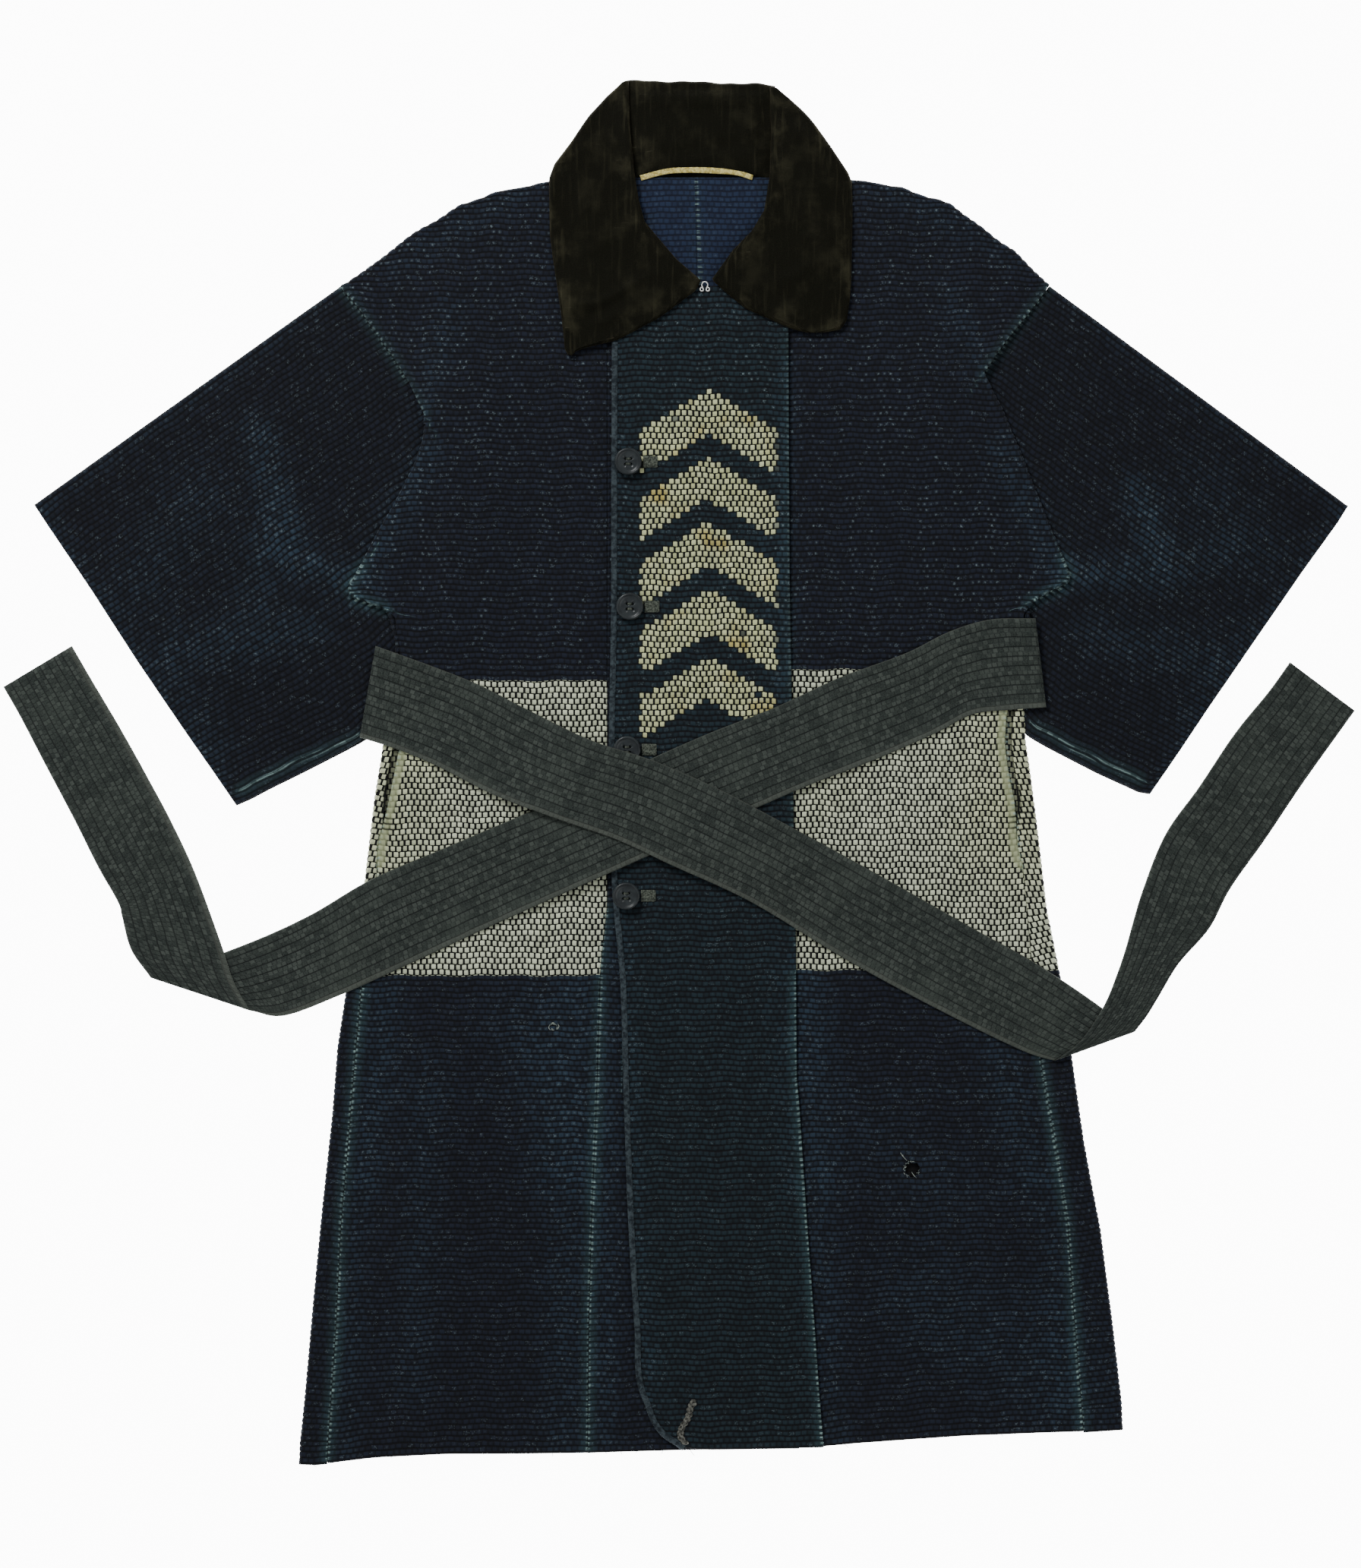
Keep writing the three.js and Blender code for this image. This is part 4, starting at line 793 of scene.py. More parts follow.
def overlap(side, material, facts):
    """An overlap panel from hem to neck."""
    name = "overlap_" + side
    top = creased(Heights(name), CREASES)
    v, groove, thin = rib_rows(-553, 396)
    if side == "left":
        lines = (OVER_EDGE, OVER_SEAM)
        shares = np.linspace(0, 1, 20)
        hem = [(-40, -553), (3, -553), (60, -552), (119, -550.3)]
    else:
        lines = (UNDER_SEAM, UNDER_EDGE)
        shares = np.linspace(0, 1, 14) ** 1.6
        hem = [(-76, -555.5), (3, -553), (100, -552)]
    grid = cloth_grid(
        v, thin, groove, *lines, shares, raw_section(5), raw_section(5), top,
        warp=hem_warp(hem, -553, 120),
    )
    piece = Shell().add(*grid).build(name + "_cloth", material, facts)
    placed(piece, name)


# Collar, by height: outer free edge, and rolled or lower edge
LEAF_OUTER = {
    "right": [
        (-89.5, 338.5), (-93, 344), (-95.5, 369), (-99.2, 394.9), (-103, 420), (-105.2, 438),
        (-106, 483), (-101.7, 495), (-87.4, 514), (-73.2, 535.6), (-57.7, 554.6), (-46, 564),
    ],
    "left": [
        (110, 357), (131, 359.9), (136.5, 367), (139.2, 385), (140.4, 400), (141.4, 457),
        (141, 480), (138, 488), (123.8, 509.5), (107.3, 533), (90.5, 554.6), (84.5, 559), (79, 563),
    ],
}
LEAF_INNER = {
    "right": [
        (-88, 338.5), (-82.6, 343.8), (-49.6, 351.9), (-16.1, 369.5), (14, 392), (18, 400),
        (-1.9, 417), (-16.1, 433.7), (-28, 448), (-32.9, 467), (-36.6, 490.7), (-39.9, 526),
        (-41, 564),
    ],
    "left": [
        (108, 357), (90.5, 361.2), (55, 376.7), (42, 387), (26.5, 400.5), (43.2, 424),
        (59.5, 440.6), (69.3, 457.3), (73.8, 485.8), (75, 521), (74, 561),
    ],
}
LEAF_CREASES = [
    (-97, 383, -7, 399.6, 5, 1.7), (-100, 372, -30, 384, 7, -0.9), (-74, 366, -40, 372, 4, 0.7),
    (-72, 486, -58, 410, 18, 1.6), (-96, 470, -88, 410, 12, -0.7), (-84, 430, -60, 420, 6, 0.6),
    (-66, 540, -86, 500, 9, 0.9), (60, 402, 128, 410, 8, 1.2), (62, 384, 104, 372, 7, 0.9),
    (106, 486, 100, 404, 18, 1.6), (128, 470, 126, 400, 9, -0.6), (96, 440, 124, 430, 5, 0.6),
    (94, 536, 116, 500, 9, 0.9),
]
VELVET_FOLD = VELVET + 0.15
COLLAR_MIDDLE = 17
ROLL = (15, 1.9)  # width and height of the roll along a leaf's inner edge


def collar_warp(u, v):
    """Rounds the collar's top edge, and bows the inner side's lower edge round the neck."""
    away = np.abs(u - COLLAR_MIDDLE)
    corner = np.clip((away - 46) / 14, 0, 2) ** 2 * 1.1
    edge = corner + 0.03 * (u + 42) - 0.5 * np.sin(u * 0.12) - 0.3 * np.sin(u * 0.31 + 1)
    near_top = np.clip((v - 520) / 42, 0, 1)
    bow = 5.4 * (away / 45) ** 2 - 1.6
    near_neck = np.clip((526 - v) / 36, 0, 1)
    return -edge * near_top**2 - bow * near_neck**2


def leaf_warp(u, v):
    """The collar's rounded top edge, on the leaves."""
    return collar_warp(u, np.maximum(v, 526.0))


def rolled_edge(base, line):
    """A height field raised along a leaf's rolled edge."""
    width, rise = ROLL

    def height(x, y):
        above = np.clip((y - 385) / 20, 0, 1)
        distance = near_line(x, y, line)
        return base(x, y) + rise * above * np.exp(-((distance / width) ** 2))

    return height


def collar_leaf(side, material, facts):
    """A collar leaf with its rolled edge and its other half under it."""
    name = "collar_leaf_" + side
    top = creased(rolled_edge(Heights(name, reach=7), LEAF_INNER[side]), LEAF_CREASES)
    first, last = (339.2, 563.6) if side == "right" else (357.6, 562.6)
    v = np.concatenate([[first, first + 0.4, first + 1.2], np.arange(first + 3, last - 2, 2.4),
                        [last - 1.2, last - 0.4, last]])
    thin = end_thinning(len(v))
    section = fold_section(VELVET, VELVET_FOLD, back=14, count=10)
    width = np.abs(at(LEAF_OUTER[side], v) - at(LEAF_INNER[side], v))
    room = np.clip(width / 19, 0.05, 1)
    sections = np.repeat(section[None], len(v), axis=0)
    sections[..., :2] *= room[:, None, None]
    grid = cloth_grid(
        v, thin, np.zeros(len(v)), LEAF_INNER[side], LEAF_OUTER[side], np.linspace(0, 1, 44),
        sections, sections, top, thick=VELVET, radius=VELVET_FOLD, warp=leaf_warp,
    )
    piece = Shell().add(*grid).build(name + "_velvet", material, facts)
    placed(piece, name)


def collar_back(material, facts):
    """The collar behind the neck: inner side, folded top and outer fall."""
    name = "collar_back"
    top, low = Heights(name), Heights(name, underside=True)
    top = creased(top, [(17, 556, 17, 540, 70, 1.4), (17, 514, 19, 500, 60, -1.0)])
    stand_edge, fold_y, fall_edge = 489.6, 565 - 0.6, 462
    radius = VELVET_FOLD
    rows = []
    for y in np.linspace(stand_edge, fold_y - radius, 32):
        rows.append((y, y, 1.0))
    for turn in np.linspace(0, math.pi, 9)[1:]:
        sine = math.sin(turn)
        rows.append((fold_y - radius * (1 - sine), fold_y - radius + (radius - VELVET) * sine,
                     math.cos(turn)))
    for y in np.linspace(fold_y - radius, fall_edge, 30)[1:]:
        rows.append((y, y, -1.0))
    outer, inner, facing = (np.array([row[k] for row in rows]) for k in range(3))
    upper = facing > 0.3
    near = np.where(upper, -43.5, at(LEAF_OUTER["right"], outer) + 2.5)
    far = np.where(upper, 78.5, at(LEAF_OUTER["left"], outer) - 2.5)
    near, far = np.minimum(near, -43.5), np.maximum(far, 78.5)
    thin = np.ones(len(rows))
    thin[:1] = thin[-1:] = 0.4
    lengths = np.concatenate([[0], np.cumsum(np.abs(np.diff(outer)) + np.abs(np.diff(facing)) * 2)])
    grid = cloth_grid(
        outer, thin, np.zeros(len(rows)), near, far, np.linspace(0, 1, 48), raw_section(),
        raw_section(), top, low, thick=VELVET, radius=radius, facing=facing, v_inner=inner,
        v_uv=lengths, warp=collar_warp,
    )
    piece = Shell().add(*grid).build(name + "_velvet", material, facts)
    placed(piece, name)


# The belt by section, as (x, y) of its upper and its lower edge
BELT_BACK = [((-249, 102), (-262, 28.5)), ((20, 113), (20, 40)), ((291.5, 124), (300, 53.5))]
BELT_OVER = [
    ((-247, 102.6), (-260, 28)), ((-199, 85.3), (-226, 17)), ((-170, 74), (-200, 6)),
    ((-120, 49), (-150, -19)), ((-71, 25.5), (-100, -38)), ((-22, 9.5), (-50, -55.5)),
    ((26, -11), (-6, -76)), ((84, -41), (50, -101.5)), ((174.5, -90.6), (139.5, -155)),
    ((242, -129), (206, -191)), ((296, -159.3), (264, -220)), ((336, -186), (288, -230.5)),
    ((371, -212), (306, -235.5)),
]
BELT_UNDER = [
    ((290, 125), (299, 52.5)), ((251.4, 123.7), (268, 50.3)), ((220.6, 114.4), (240, 47)),
    ((189.7, 98.9), (212, 33)), ((129.4, 76.2), (155, 8)), ((81.5, 53.9), (108, -10)),
    ((26, 32), (55, -33)), ((-70, -10.5), (-42, -76)), ((-184.8, -59.5), (-157, -127.5)),
    ((-256.3, -90.5), (-228, -160.5)), ((-301.3, -117), (-276, -182)),
    ((-354.6, -141), (-322, -199)), ((-430.5, -168.3), (-349.7, -195)),
]
TAIL_RIGHT = [
    ((-430.5, -168.3), (-349.7, -195)), ((-446.5, -146), (-362.5, -172)),
    ((-454, -120), (-373, -141)), ((-457.5, -107), (-394, -84)), ((-473.4, -79), (-413, -43)),
    ((-493, -40), (-433, -5.5)), ((-517.7, 6.8), (-457, 37.5)), ((-539.6, 48.7), (-481, 78)),
    ((-551.4, 69.3), (-495.4, 102.9)),
]
TAIL_LEFT = [
    ((306, -235.5), (371, -212)), ((325, -221), (381, -199)), ((344, -194), (391, -183)),
    ((358.5, -160), (405, -160)), ((378, -97), (434, -126)), ((395, -54.5), (449, -97)),
    ((424.5, -12), (478, -55.8)), ((454, 32), (507.5, -11.8)), ((485, 70.5), (536.9, 29.5)),
    ((498.5, 89.6), (551.6, 49.9)),
]
TAPE = [
    ((-32, 486), (-30.5, 481.8)), ((-21.5, 489), (-21, 484.6)), ((-10, 491.8), (-9.6, 487.2)),
    ((8, 492.8), (8, 488.2)), ((31, 492.2), (31, 487.4)), ((48, 490.4), (47.6, 486)),
    ((60.5, 486.4), (59.5, 482.2)),
]
HEM_LOOP = [
    (11.2, -513.8), (9.4, -518), (8.4, -523), (6.4, -528), (3.6, -532), (1.6, -536.5),
    (1.2, -541), (3.2, -545), (6.4, -547.5),
]
BELT_STRETCHES = {  # sections, softness of the heights, radius of the fold at the start
    "belt_under": (BELT_UNDER, 8, 0),
    "belt_over": (BELT_OVER, 8, 0),
    "belt_back": (BELT_BACK, 8, 0),
    "belt_tail_right": (TAIL_RIGHT, 10, BELT_FOLD),
    "belt_tail_left": (TAIL_LEFT, 10, BELT_FOLD),
}
BELT_ROWS = 9
BELT_WIDTH = 68.0
BELT_STITCH = 0.5  # depth of a line of stitching


def smooth_line(points, step):
    """Points every step along a smooth line through these; each point may hold several values."""
    points = np.array(points, dtype=float)
    centre = points.reshape(len(points), -1, 2).mean(axis=1)
    lengths = np.concatenate([[0], np.cumsum(np.linalg.norm(np.diff(centre, axis=0), axis=1))])
    count = max(int(lengths[-1] / step), 3)
    places = np.linspace(0, lengths[-1], count + 1)
    flat_points = points.reshape(len(points), -1)
    slopes = np.gradient(flat_points, lengths, axis=0)
    k = np.clip(np.searchsorted(lengths, places, side="right") - 1, 0, len(points) - 2)
    gap = (lengths[k + 1] - lengths[k])[:, None]
    t = (places[:, None] - lengths[k][:, None]) / gap
    line = (
        (2 * t**3 - 3 * t**2 + 1) * flat_points[k] + (t**3 - 2 * t**2 + t) * gap * slopes[k]
        + (3 * t**2 - 2 * t**3) * flat_points[k + 1] + (t**3 - t**2) * gap * slopes[k + 1]
    )
    return line.reshape(len(line), -1, 2), places


def ribbon(name, table, top, thick, material, relief=None, step=5.0, across=13, fold=0.0):
    """A strip by its sections. fold is the radius of a fold at its start, over another strip."""
    line, places = smooth_line(table, step)
    upper, lower = line[:, 0], line[:, 1]
    width = np.linalg.norm(upper - lower, axis=1)
    edge = np.array([0, 0.3, 0.9])
    shares = []
    for w in width:
        inner = np.linspace(0.9 / w, 1 - 0.9 / w, across)
        shares.append(np.concatenate([edge[:2] / w, inner, 1 - edge[1::-1] / w]))
    shares = np.array(shares)
    thin_across = np.ones(across + 4)
    thin_across[:2] = (0.3, 0.8)
    thin_across[-2:] = (0.8, 0.3)
    xy = upper[:, None] + (lower - upper)[:, None] * shares[..., None]
    z = np.maximum(top(xy[..., 0], xy[..., 1]), thick)
    raised = relief(shares, places) if relief else np.zeros(shares.shape)
    centre = z - thick / 2
    half = thick / 2 * np.repeat(thin_across[None, :], len(places), axis=0)
    outer = np.stack([xy[..., 0], xy[..., 1], centre + half + raised * thin_across[None, :]], -1)
    inner = np.stack([xy[..., 0], xy[..., 1], centre - half], -1)
    along = np.repeat(places[:, None], shares.shape[1], axis=1)
    side = shares * np.mean(width)
    if fold:
        direction = xy[0] - xy[1]
        direction /= np.linalg.norm(direction, axis=1, keepdims=True)
        rows_out, rows_in, rows_along = [], [], []
        mid = np.maximum(outer[0, :, 2] - fold, fold)
        base = xy[0] - direction * fold
        turns = np.concatenate([[math.pi] * 2, np.linspace(math.pi, 0, 8)[1:-1]])
        for number, turn in enumerate(turns):
            back = 9 if number == 0 else 0
            reach_out, reach_in = fold * math.sin(turn), (fold - thick) * math.sin(turn)
            for rows, reach, radius in (
                (rows_out, reach_out, fold), (rows_in, reach_in, fold - thick),
            ):
                place = base + direction * (reach - back)
                rows.append(np.column_stack([place, mid + radius * math.cos(turn)]))
            rows_along.append(np.full(shares.shape[1], -fold * turn - back))
        keep = places > fold + 1
        outer = np.concatenate([rows_out, outer[keep]])
        inner = np.concatenate([rows_in, inner[keep]])
        along = np.concatenate([rows_along, along[keep]])
        side = np.concatenate([np.repeat(side[:1], len(turns), axis=0), side[keep]])
    uv = np.stack([along, side], axis=-1) * MM
    piece = Shell().add(outer, inner, uv).build(name + "_strip", material)
    placed(piece, name)


def stitched_rows(shares, _):
    """Soft rows between lines of stitching."""
    rows = np.abs(np.sin(math.pi * BELT_ROWS * shares))
    return BELT_STITCH * (rows**0.6 - 1)


def belt(material):
    """The belt: the two crossed strands, the back, and the two ends that fold over a strand."""
    for name, (table, reach, fold) in BELT_STRETCHES.items():
        ribbon(
            name, table, Heights(name, reach=reach), BELT, material,
            stitched_rows, across=BELT_ROWS * 5 + 1, fold=fold,
        )


def trims(materials):
    """Tape at the neck, binding on the front edge and the loop at the hem corner."""
    ribbon("neck_tape", TAPE, Heights("neck_tape", reach=4), TRIM, materials["tape"],
           step=2.5, across=9)
    rounded = [point for point in OVER_EDGE if -555 < point[1] < 350]
    edge = sorted(rounded + [(-54, 350)], key=lambda point: -point[1])
    edge = [edge[0]] + [(-54.3, 270), (-54.5, 215)] + edge[1:]
    points = np.array(edge, dtype=float)
    slope = np.gradient(points, axis=0)
    normal = np.stack([-slope[:, 1], slope[:, 0]], axis=1)
    normal /= np.linalg.norm(normal, axis=1, keepdims=True)
    inner = points + normal * 4.2
    outer = points - normal * 0.7
    sections = [(tuple(o), tuple(i)) for o, i in zip(outer, inner)]
    panel = creased(Heights("overlap_left"), CREASES)
    cad = Heights("front_edge_binding", reach=6)

    def on_panel(x, y):
        return np.maximum(cad(x, y), panel(x, y) + 0.7)

    def rolled(shares, places):
        worn = 0.12 * np.sin(places * 0.9)[:, None] * np.sin(places * 0.23)[:, None]
        return 0.45 * np.sin(math.pi * np.clip(shares, 0, 1)) - 0.15 + worn

    ribbon("front_edge_binding", sections, on_panel, TRIM,
           materials["edge_binding"], rolled, step=4, across=7)
    strands = []
    for offset, lift in ((-1.5, 0.35), (1.5, 0.35), (0, 0.9)):
        line, places = smooth_line([((x + offset, y),) for x, y in HEM_LOOP], 0.8)
        line = line[:, 0]
        swing = 0.5 * np.sin(places * 1.5 + 3 * offset)
        high = panel(line[:, 0], line[:, 1]) + lift + 0.25 * np.cos(places * 1.5 + 3 * offset)
        strands.append(np.column_stack([line[:, 0] + swing, line[:, 1], high]))
    x, y = HEM_LOOP[0]
    level = float(panel(np.array([x]), np.array([y]))[0]) + 1.3
    turns = np.linspace(0.4, 2 * math.pi + 0.1, 15)
    ring = [(x + 0.6 + 1.9 * math.cos(turn), y + 1.9 * math.sin(turn), level) for turn in turns]
    strands.append(ring)
    loop = tubes("hem_loop_strands", strands, 1.15, materials["loop_thread"], 7)
    placed(loop, "hem_loop")


def loose_threads(materials):
    """Frayed threads at the worn hole and along the hem."""
    rng = np.random.default_rng(7)
    left = creased(Heights("body_left"), CREASES)
    right = creased(Heights("body_right"), CREASES)
    middle = creased(Heights("overlap_left"), CREASES)
    x, y, radius = HOLE
    level = float(left(np.array([x]), np.array([y]))[0])
    paths = []
    for k in range(54):
        angle = 2 * math.pi * (k + rng.uniform(-0.4, 0.4)) / 54
        reach = rng.uniform(0.4, 1.9)
        if math.sin(1.5 * angle + 0.6) > 0.55:
            continue
        start = radius + rng.uniform(0.6, 1.7)
        turn = rng.uniform(-0.5, 0.5)
        path = []
        for part in np.linspace(0, 1, 6):
            out = start - part * reach
            bend = angle + turn * part * part
            drop = 0.35 - 1.5 * part * part + rng.uniform(-0.1, 0.1)
            path.append((x + out * math.cos(bend), y + out * math.sin(bend), level + drop))
        paths.append(path)
    for x, y in ((186, -317), (184.5, -315.5), (193.5, -331)):
        path = []
        for part in np.linspace(0, 1, 6):
            bend = 2.1 * part * part
            path.append((x - 4 * part, y + 3 * part + bend, level + 0.5 + 0.8 * math.sin(3 * part)))
        paths.append(path)
    x, y = -102, -208
    level = float(right(np.array([x]), np.array([y]))[0])
    for k in range(16):
        angle = rng.uniform(0, 2 * math.pi)
        start = rng.uniform(2.2, 4.4)
        path = []
        for part in np.linspace(0, 1, 5):
            turn = angle + 0.9 * part
            place = (x + start * math.cos(turn), y + 0.8 * start * math.sin(turn))
            path.append((*place, level + 0.1 + 0.5 * math.sin(math.pi * part)))
        paths.append(path)
    frayed = tubes("loose_threads", paths, 0.24, materials["loose_thread"], 4)
    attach(frayed, "root")
    paths = []
    for x, size in (
        (-300, 5), (-262, 3), (-236, 4), (-158, 3), (-104, 6), (-62, 4), (-47, 5), (-33, 4),
        (-12, 6), (9, 9), (38, 3), (92, 4), (134, 6), (206, 3), (262, 5), (318, 4), (344, 6),
    ):
        edge = HEM["left"] if x > 3 else HEM["right"]
        hem = float(np.interp(x, [point[0] for point in edge], [point[1] for point in edge]))
        cloth = left if x > 120 else right if x < -50 else middle
        lean, curl = rng.uniform(-0.9, 0.9), rng.uniform(-1.2, 1.2)
        level = min(float(cloth(np.array([x + 0.0]), np.array([hem + 4]))[0]), 6.0) - 1.0
        path = []
        for part in np.linspace(0, 1, 7):
            path.append((
                x + size * (lean * part + 0.4 * curl * part * part),
                hem + 1.2 - size * 0.7 * part,
                max(level - 2.5 * part, 0.35),
            ))
        paths.append(path)
    hem_threads = tubes("hem_threads", paths, 0.2, materials["edge_binding"], 4)
    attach(hem_threads, "root")


BUTTONS = [(-41.3, 252.5), (-40, 134.5), (-42.3, 18), (-43, -101)]
BUTTON_RADIUS = 11.15
HOLES = 2.1  # from the middle of a button to its holes, each way


def lathe(profile, sides):
    """Points and faces of a closed turned form about Z from (radius, z) pairs."""
    points, faces = [], []
    for radius, z in profile:
        for k in range(sides):
            angle = 2 * math.pi * k / sides
            points.append((radius * math.cos(angle), radius * math.sin(angle), z))
    for ring in range(len(profile) - 1):
        for k in range(sides):
            a, b = ring * sides + k, ring * sides + (k + 1) % sides
            faces.append((a, b, b + sides, a + sides))
    faces.append(tuple(reversed(range(sides))))
    faces.append(tuple(range(len(points) - sides, len(points))))
    return points, faces


def cut(piece, cutter):
    """Takes cutter away from piece."""
    change = piece.modifiers.new("cut", "BOOLEAN")
    change.operation = "DIFFERENCE"
    change.solver = "EXACT"
    change.object = cutter
    evaluated = piece.evaluated_get(bpy.context.evaluated_depsgraph_get())
    mesh = bpy.data.meshes.new_from_object(evaluated)
    piece.modifiers.clear()
    piece.data = mesh
    bpy.data.objects.remove(cutter)


def buttons(materials):
    """Four buttons with four holes and a raised rim, their thread, and their buttonholes."""
    profile = [
        (0.5, 0), (9.2, 0), (10.4, 0.5), (11.0, 1.3), (BUTTON_RADIUS, 2.0), (10.95, 2.7),
        (10.4, 3.25), (9.9, 3.4), (9.4, 3.25), (8.9, 2.75), (8.4, 2.35), (6.5, 2.3), (3, 2.3),
        (0.4, 2.3),
    ]
    points, faces = lathe(profile, 56)
    master = make_object("button_form", points, faces, material=materials["button"])
    for x, y in ((-HOLES, -HOLES), (HOLES, -HOLES), (HOLES, HOLES), (-HOLES, HOLES)):
        shape = lathe([(1.1, -1), (1.1, 5)], 20)
        pin = make_object("pin", [(px + x, py + y, pz) for px, py, pz in shape[0]], shape[1])
        cut(master, pin)
    for number, (x, y) in enumerate(BUTTONS, 1):
        name = f"button_{number}"
        low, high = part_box(name)
        mesh = master.data.copy()
        for vertex in mesh.vertices:
            vertex.co.x += x * MM
            vertex.co.y += y * MM
            vertex.co.z += low[2]
        mesh.polygons.foreach_set("use_smooth", [len(f.vertices) < 8 for f in mesh.polygons])
        piece = bpy.data.objects.new(name + "_disc", mesh)
        bpy.context.scene.collection.objects.link(piece)
        placed(piece, name)
        stitches = []
        for row in (-HOLES, HOLES):
            for strand in (-0.45, 0, 0.45):
                path = [(-2.2, 1.0), (-1.6, 2.4), (-0.8, 2.75), (0.8, 2.75), (1.6, 2.4), (2.2, 1.0)]
                stitches.append([
                    (x + part, y + row + strand, low[2] / MM + height) for part, height in path
                ])
        thread = tubes(name + "_thread", stitches, 0.28, materials["buttonhole_thread"])
        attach(thread, "root")
        buttonhole(number, materials["buttonhole_thread"])
    bpy.data.objects.remove(master)


def buttonhole(number, material):
    """A stitched buttonhole: rows of thread on both sides of a slit."""
    name = f"buttonhole_{number}"
    low, high = (np.array(corner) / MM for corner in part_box(name))
    columns, rows = 37, 21
    u, v = np.meshgrid(np.linspace(0, 1, columns), np.linspace(0, 1, rows))
    across, along = (v - 0.5) * 2, (u - 0.5) * 2
    round_end = np.where(along > 0.72, (along - 0.72) / 0.28, 0)
    edge = 1 - 0.12 * round_end**2
    x = low[0] + (high[0] - low[0]) * u
    y = (low[1] + high[1]) / 2 + (high[1] - low[1]) / 2 * across * edge
    distance = np.abs(across) + np.maximum(np.abs(along) - 0.8, 0)
    bank = np.clip(1 - ((distance - 0.45) / 0.5) ** 2, 0, 1)
    threads = 0.16 * np.sin(u * 46) * (distance > 0.12)
    z = high[2] - 0.85 + 0.75 * bank + threads * bank
    inner_z = np.full(z.shape, low[2])
    grid = (np.stack([x, y, z], -1), np.stack([x, y, inner_z], -1), np.stack([u, v], -1) * 0.01)
    placed(Shell().add(*grid).build(name + "_stitches", material), name)


def tubes(name, paths, radius, material, sides=5):
    """Round threads along paths, as one piece."""
    points, faces = [], []
    for path in paths:
        line = np.array(path, dtype=float)
        run = np.gradient(line, axis=0)
        run /= np.maximum(np.linalg.norm(run, axis=1, keepdims=True), 1e-9)
        first = np.cross(run, [0.31, 0.17, 0.93])
        first /= np.maximum(np.linalg.norm(first, axis=1, keepdims=True), 1e-9)
        second = np.cross(run, first)
        base = len(points)
        for k, place in enumerate(line):
            size = radius * (0.5 if k in (0, len(line) - 1) else 1)
            for turn in range(sides):
                angle = 2 * math.pi * turn / sides
                points.append(place + size * (math.cos(angle) * first[k] + math.sin(angle) * second[k]))
        for k in range(len(line) - 1):
            for turn in range(sides):
                a, b = base + k * sides + turn, base + k * sides + (turn + 1) % sides
                faces.append((a, b, b + sides, a + sides))
        faces.append(tuple(base + turn for turn in reversed(range(sides))))
        faces.append(tuple(base + (len(line) - 1) * sides + turn for turn in range(sides)))
    return make_object(name, points, faces, material=material)


def neck_eye(material):
    """A white wire eye: a loop with two curled feet."""
    low, high = (np.array(corner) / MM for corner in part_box("neck_eye"))
    middle = (low + high) / 2
    span = high - low
    path = []
    for angle in np.linspace(-2.2, 2.2, 22):
        path.append((math.sin(angle) * 0.3, 0.12 + 0.3 * math.cos(angle)))
    feet = []
    for sign in (-1, 1):
        feet.append([
            (sign * (0.3 + 0.17 * math.sin(a)), -0.28 + 0.17 * math.cos(a) * -1)
            for a in np.linspace(-1.4, 4.0, 16)
        ])
    line = list(reversed(feet[0])) + path + feet[1]
    z = middle[2]
    points = [(middle[0] + a * span[0], middle[1] + b * span[1], z) for a, b in line]
    piece = tubes("neck_eye_wire", [points], min(span[2] / 2, 0.55), material, 8)
    placed(piece, "neck_eye")


# Wear, given one by one: x and y of the two ends of a line, its width and its strength
WORN = [
    (-343, 276, -317, 180, 14, 1.0), (-262, 152, -330, 182, 13, 0.95), (-300, 118, -404, 100, 18, 0.6),
    (-330, 190, -352, 120, 24, 0.45), (-390, 226, -440, 150, 30, 0.35), (-420, 90, -380, 20, 22, 0.35),
    (373, 228, 399, 160, 14, 1.0), (318, 160, 396, 166, 13, 0.9), (396, 164, 448, 184, 16, 0.7),
    (340, 112, 430, 92, 20, 0.5), (430, 236, 476, 176, 28, 0.3), (460, 110, 420, 40, 22, 0.35),
    (-262, 150, -205, 262, 14, 0.5), (312, 162, 262, 262, 14, 0.45), (-186, 378, -206, 290, 12, 0.3),
    (222, 388, 246, 322, 12, 0.3), (-86, -130, -94, -330, 26, 0.6), (-88, -330, -96, -540, 20, 0.45),
    (-130, -205, -86, -290, 30, 0.4), (-240, -180, -256, -330, 16, 0.5),
    (-262, -330, -272, -550, 12, 0.4), (-205, -240, -218, -500, 18, 0.3),
    (-60, -130, -62, -540, 12, 0.55), (100, -165, 112, -330, 22, 0.65),
    (112, -330, 126, -540, 14, 0.45), (86, 330, 88, 80, 8, 0.5), (74, 200, 84, 60, 12, 0.35),
    (200, -430, 320, -500, 46, 0.4), (250, -180, 286, -330, 20, 0.4), (300, -330, 318, -530, 16, 0.45),
    (160, -300, 228, -350, 34, 0.25), (-46, -130, -22, -510, 7, 0.4), (-48, 320, -50, 40, 6, 0.3),
    (-230, 410, -130, 474, 12, 0.25), (270, 420, 170, 474, 12, 0.25), (-516, 208, -368, -20, 8, 0.5),
    (538, 208, 392, -12, 8, 0.5), (-520, 214, -290, 380, 6, 0.3), (540, 214, 316, 380, 6, 0.3),
    (-30, 470, 60, 470, 60, 0.5), (-269, 152, -262, 139, 5, 1.0), (-262, 139, -240, 132, 5, 0.9),
    (318, 160, 314, 151, 5, 1.0), (314, 151, 286, 138, 5, 0.9), (-102, -208, -100, -206, 7, 0.6),
    (-252, -263, -86, -261, 3, 0.3), (110, -262, 284, -259, 3, 0.3),
]
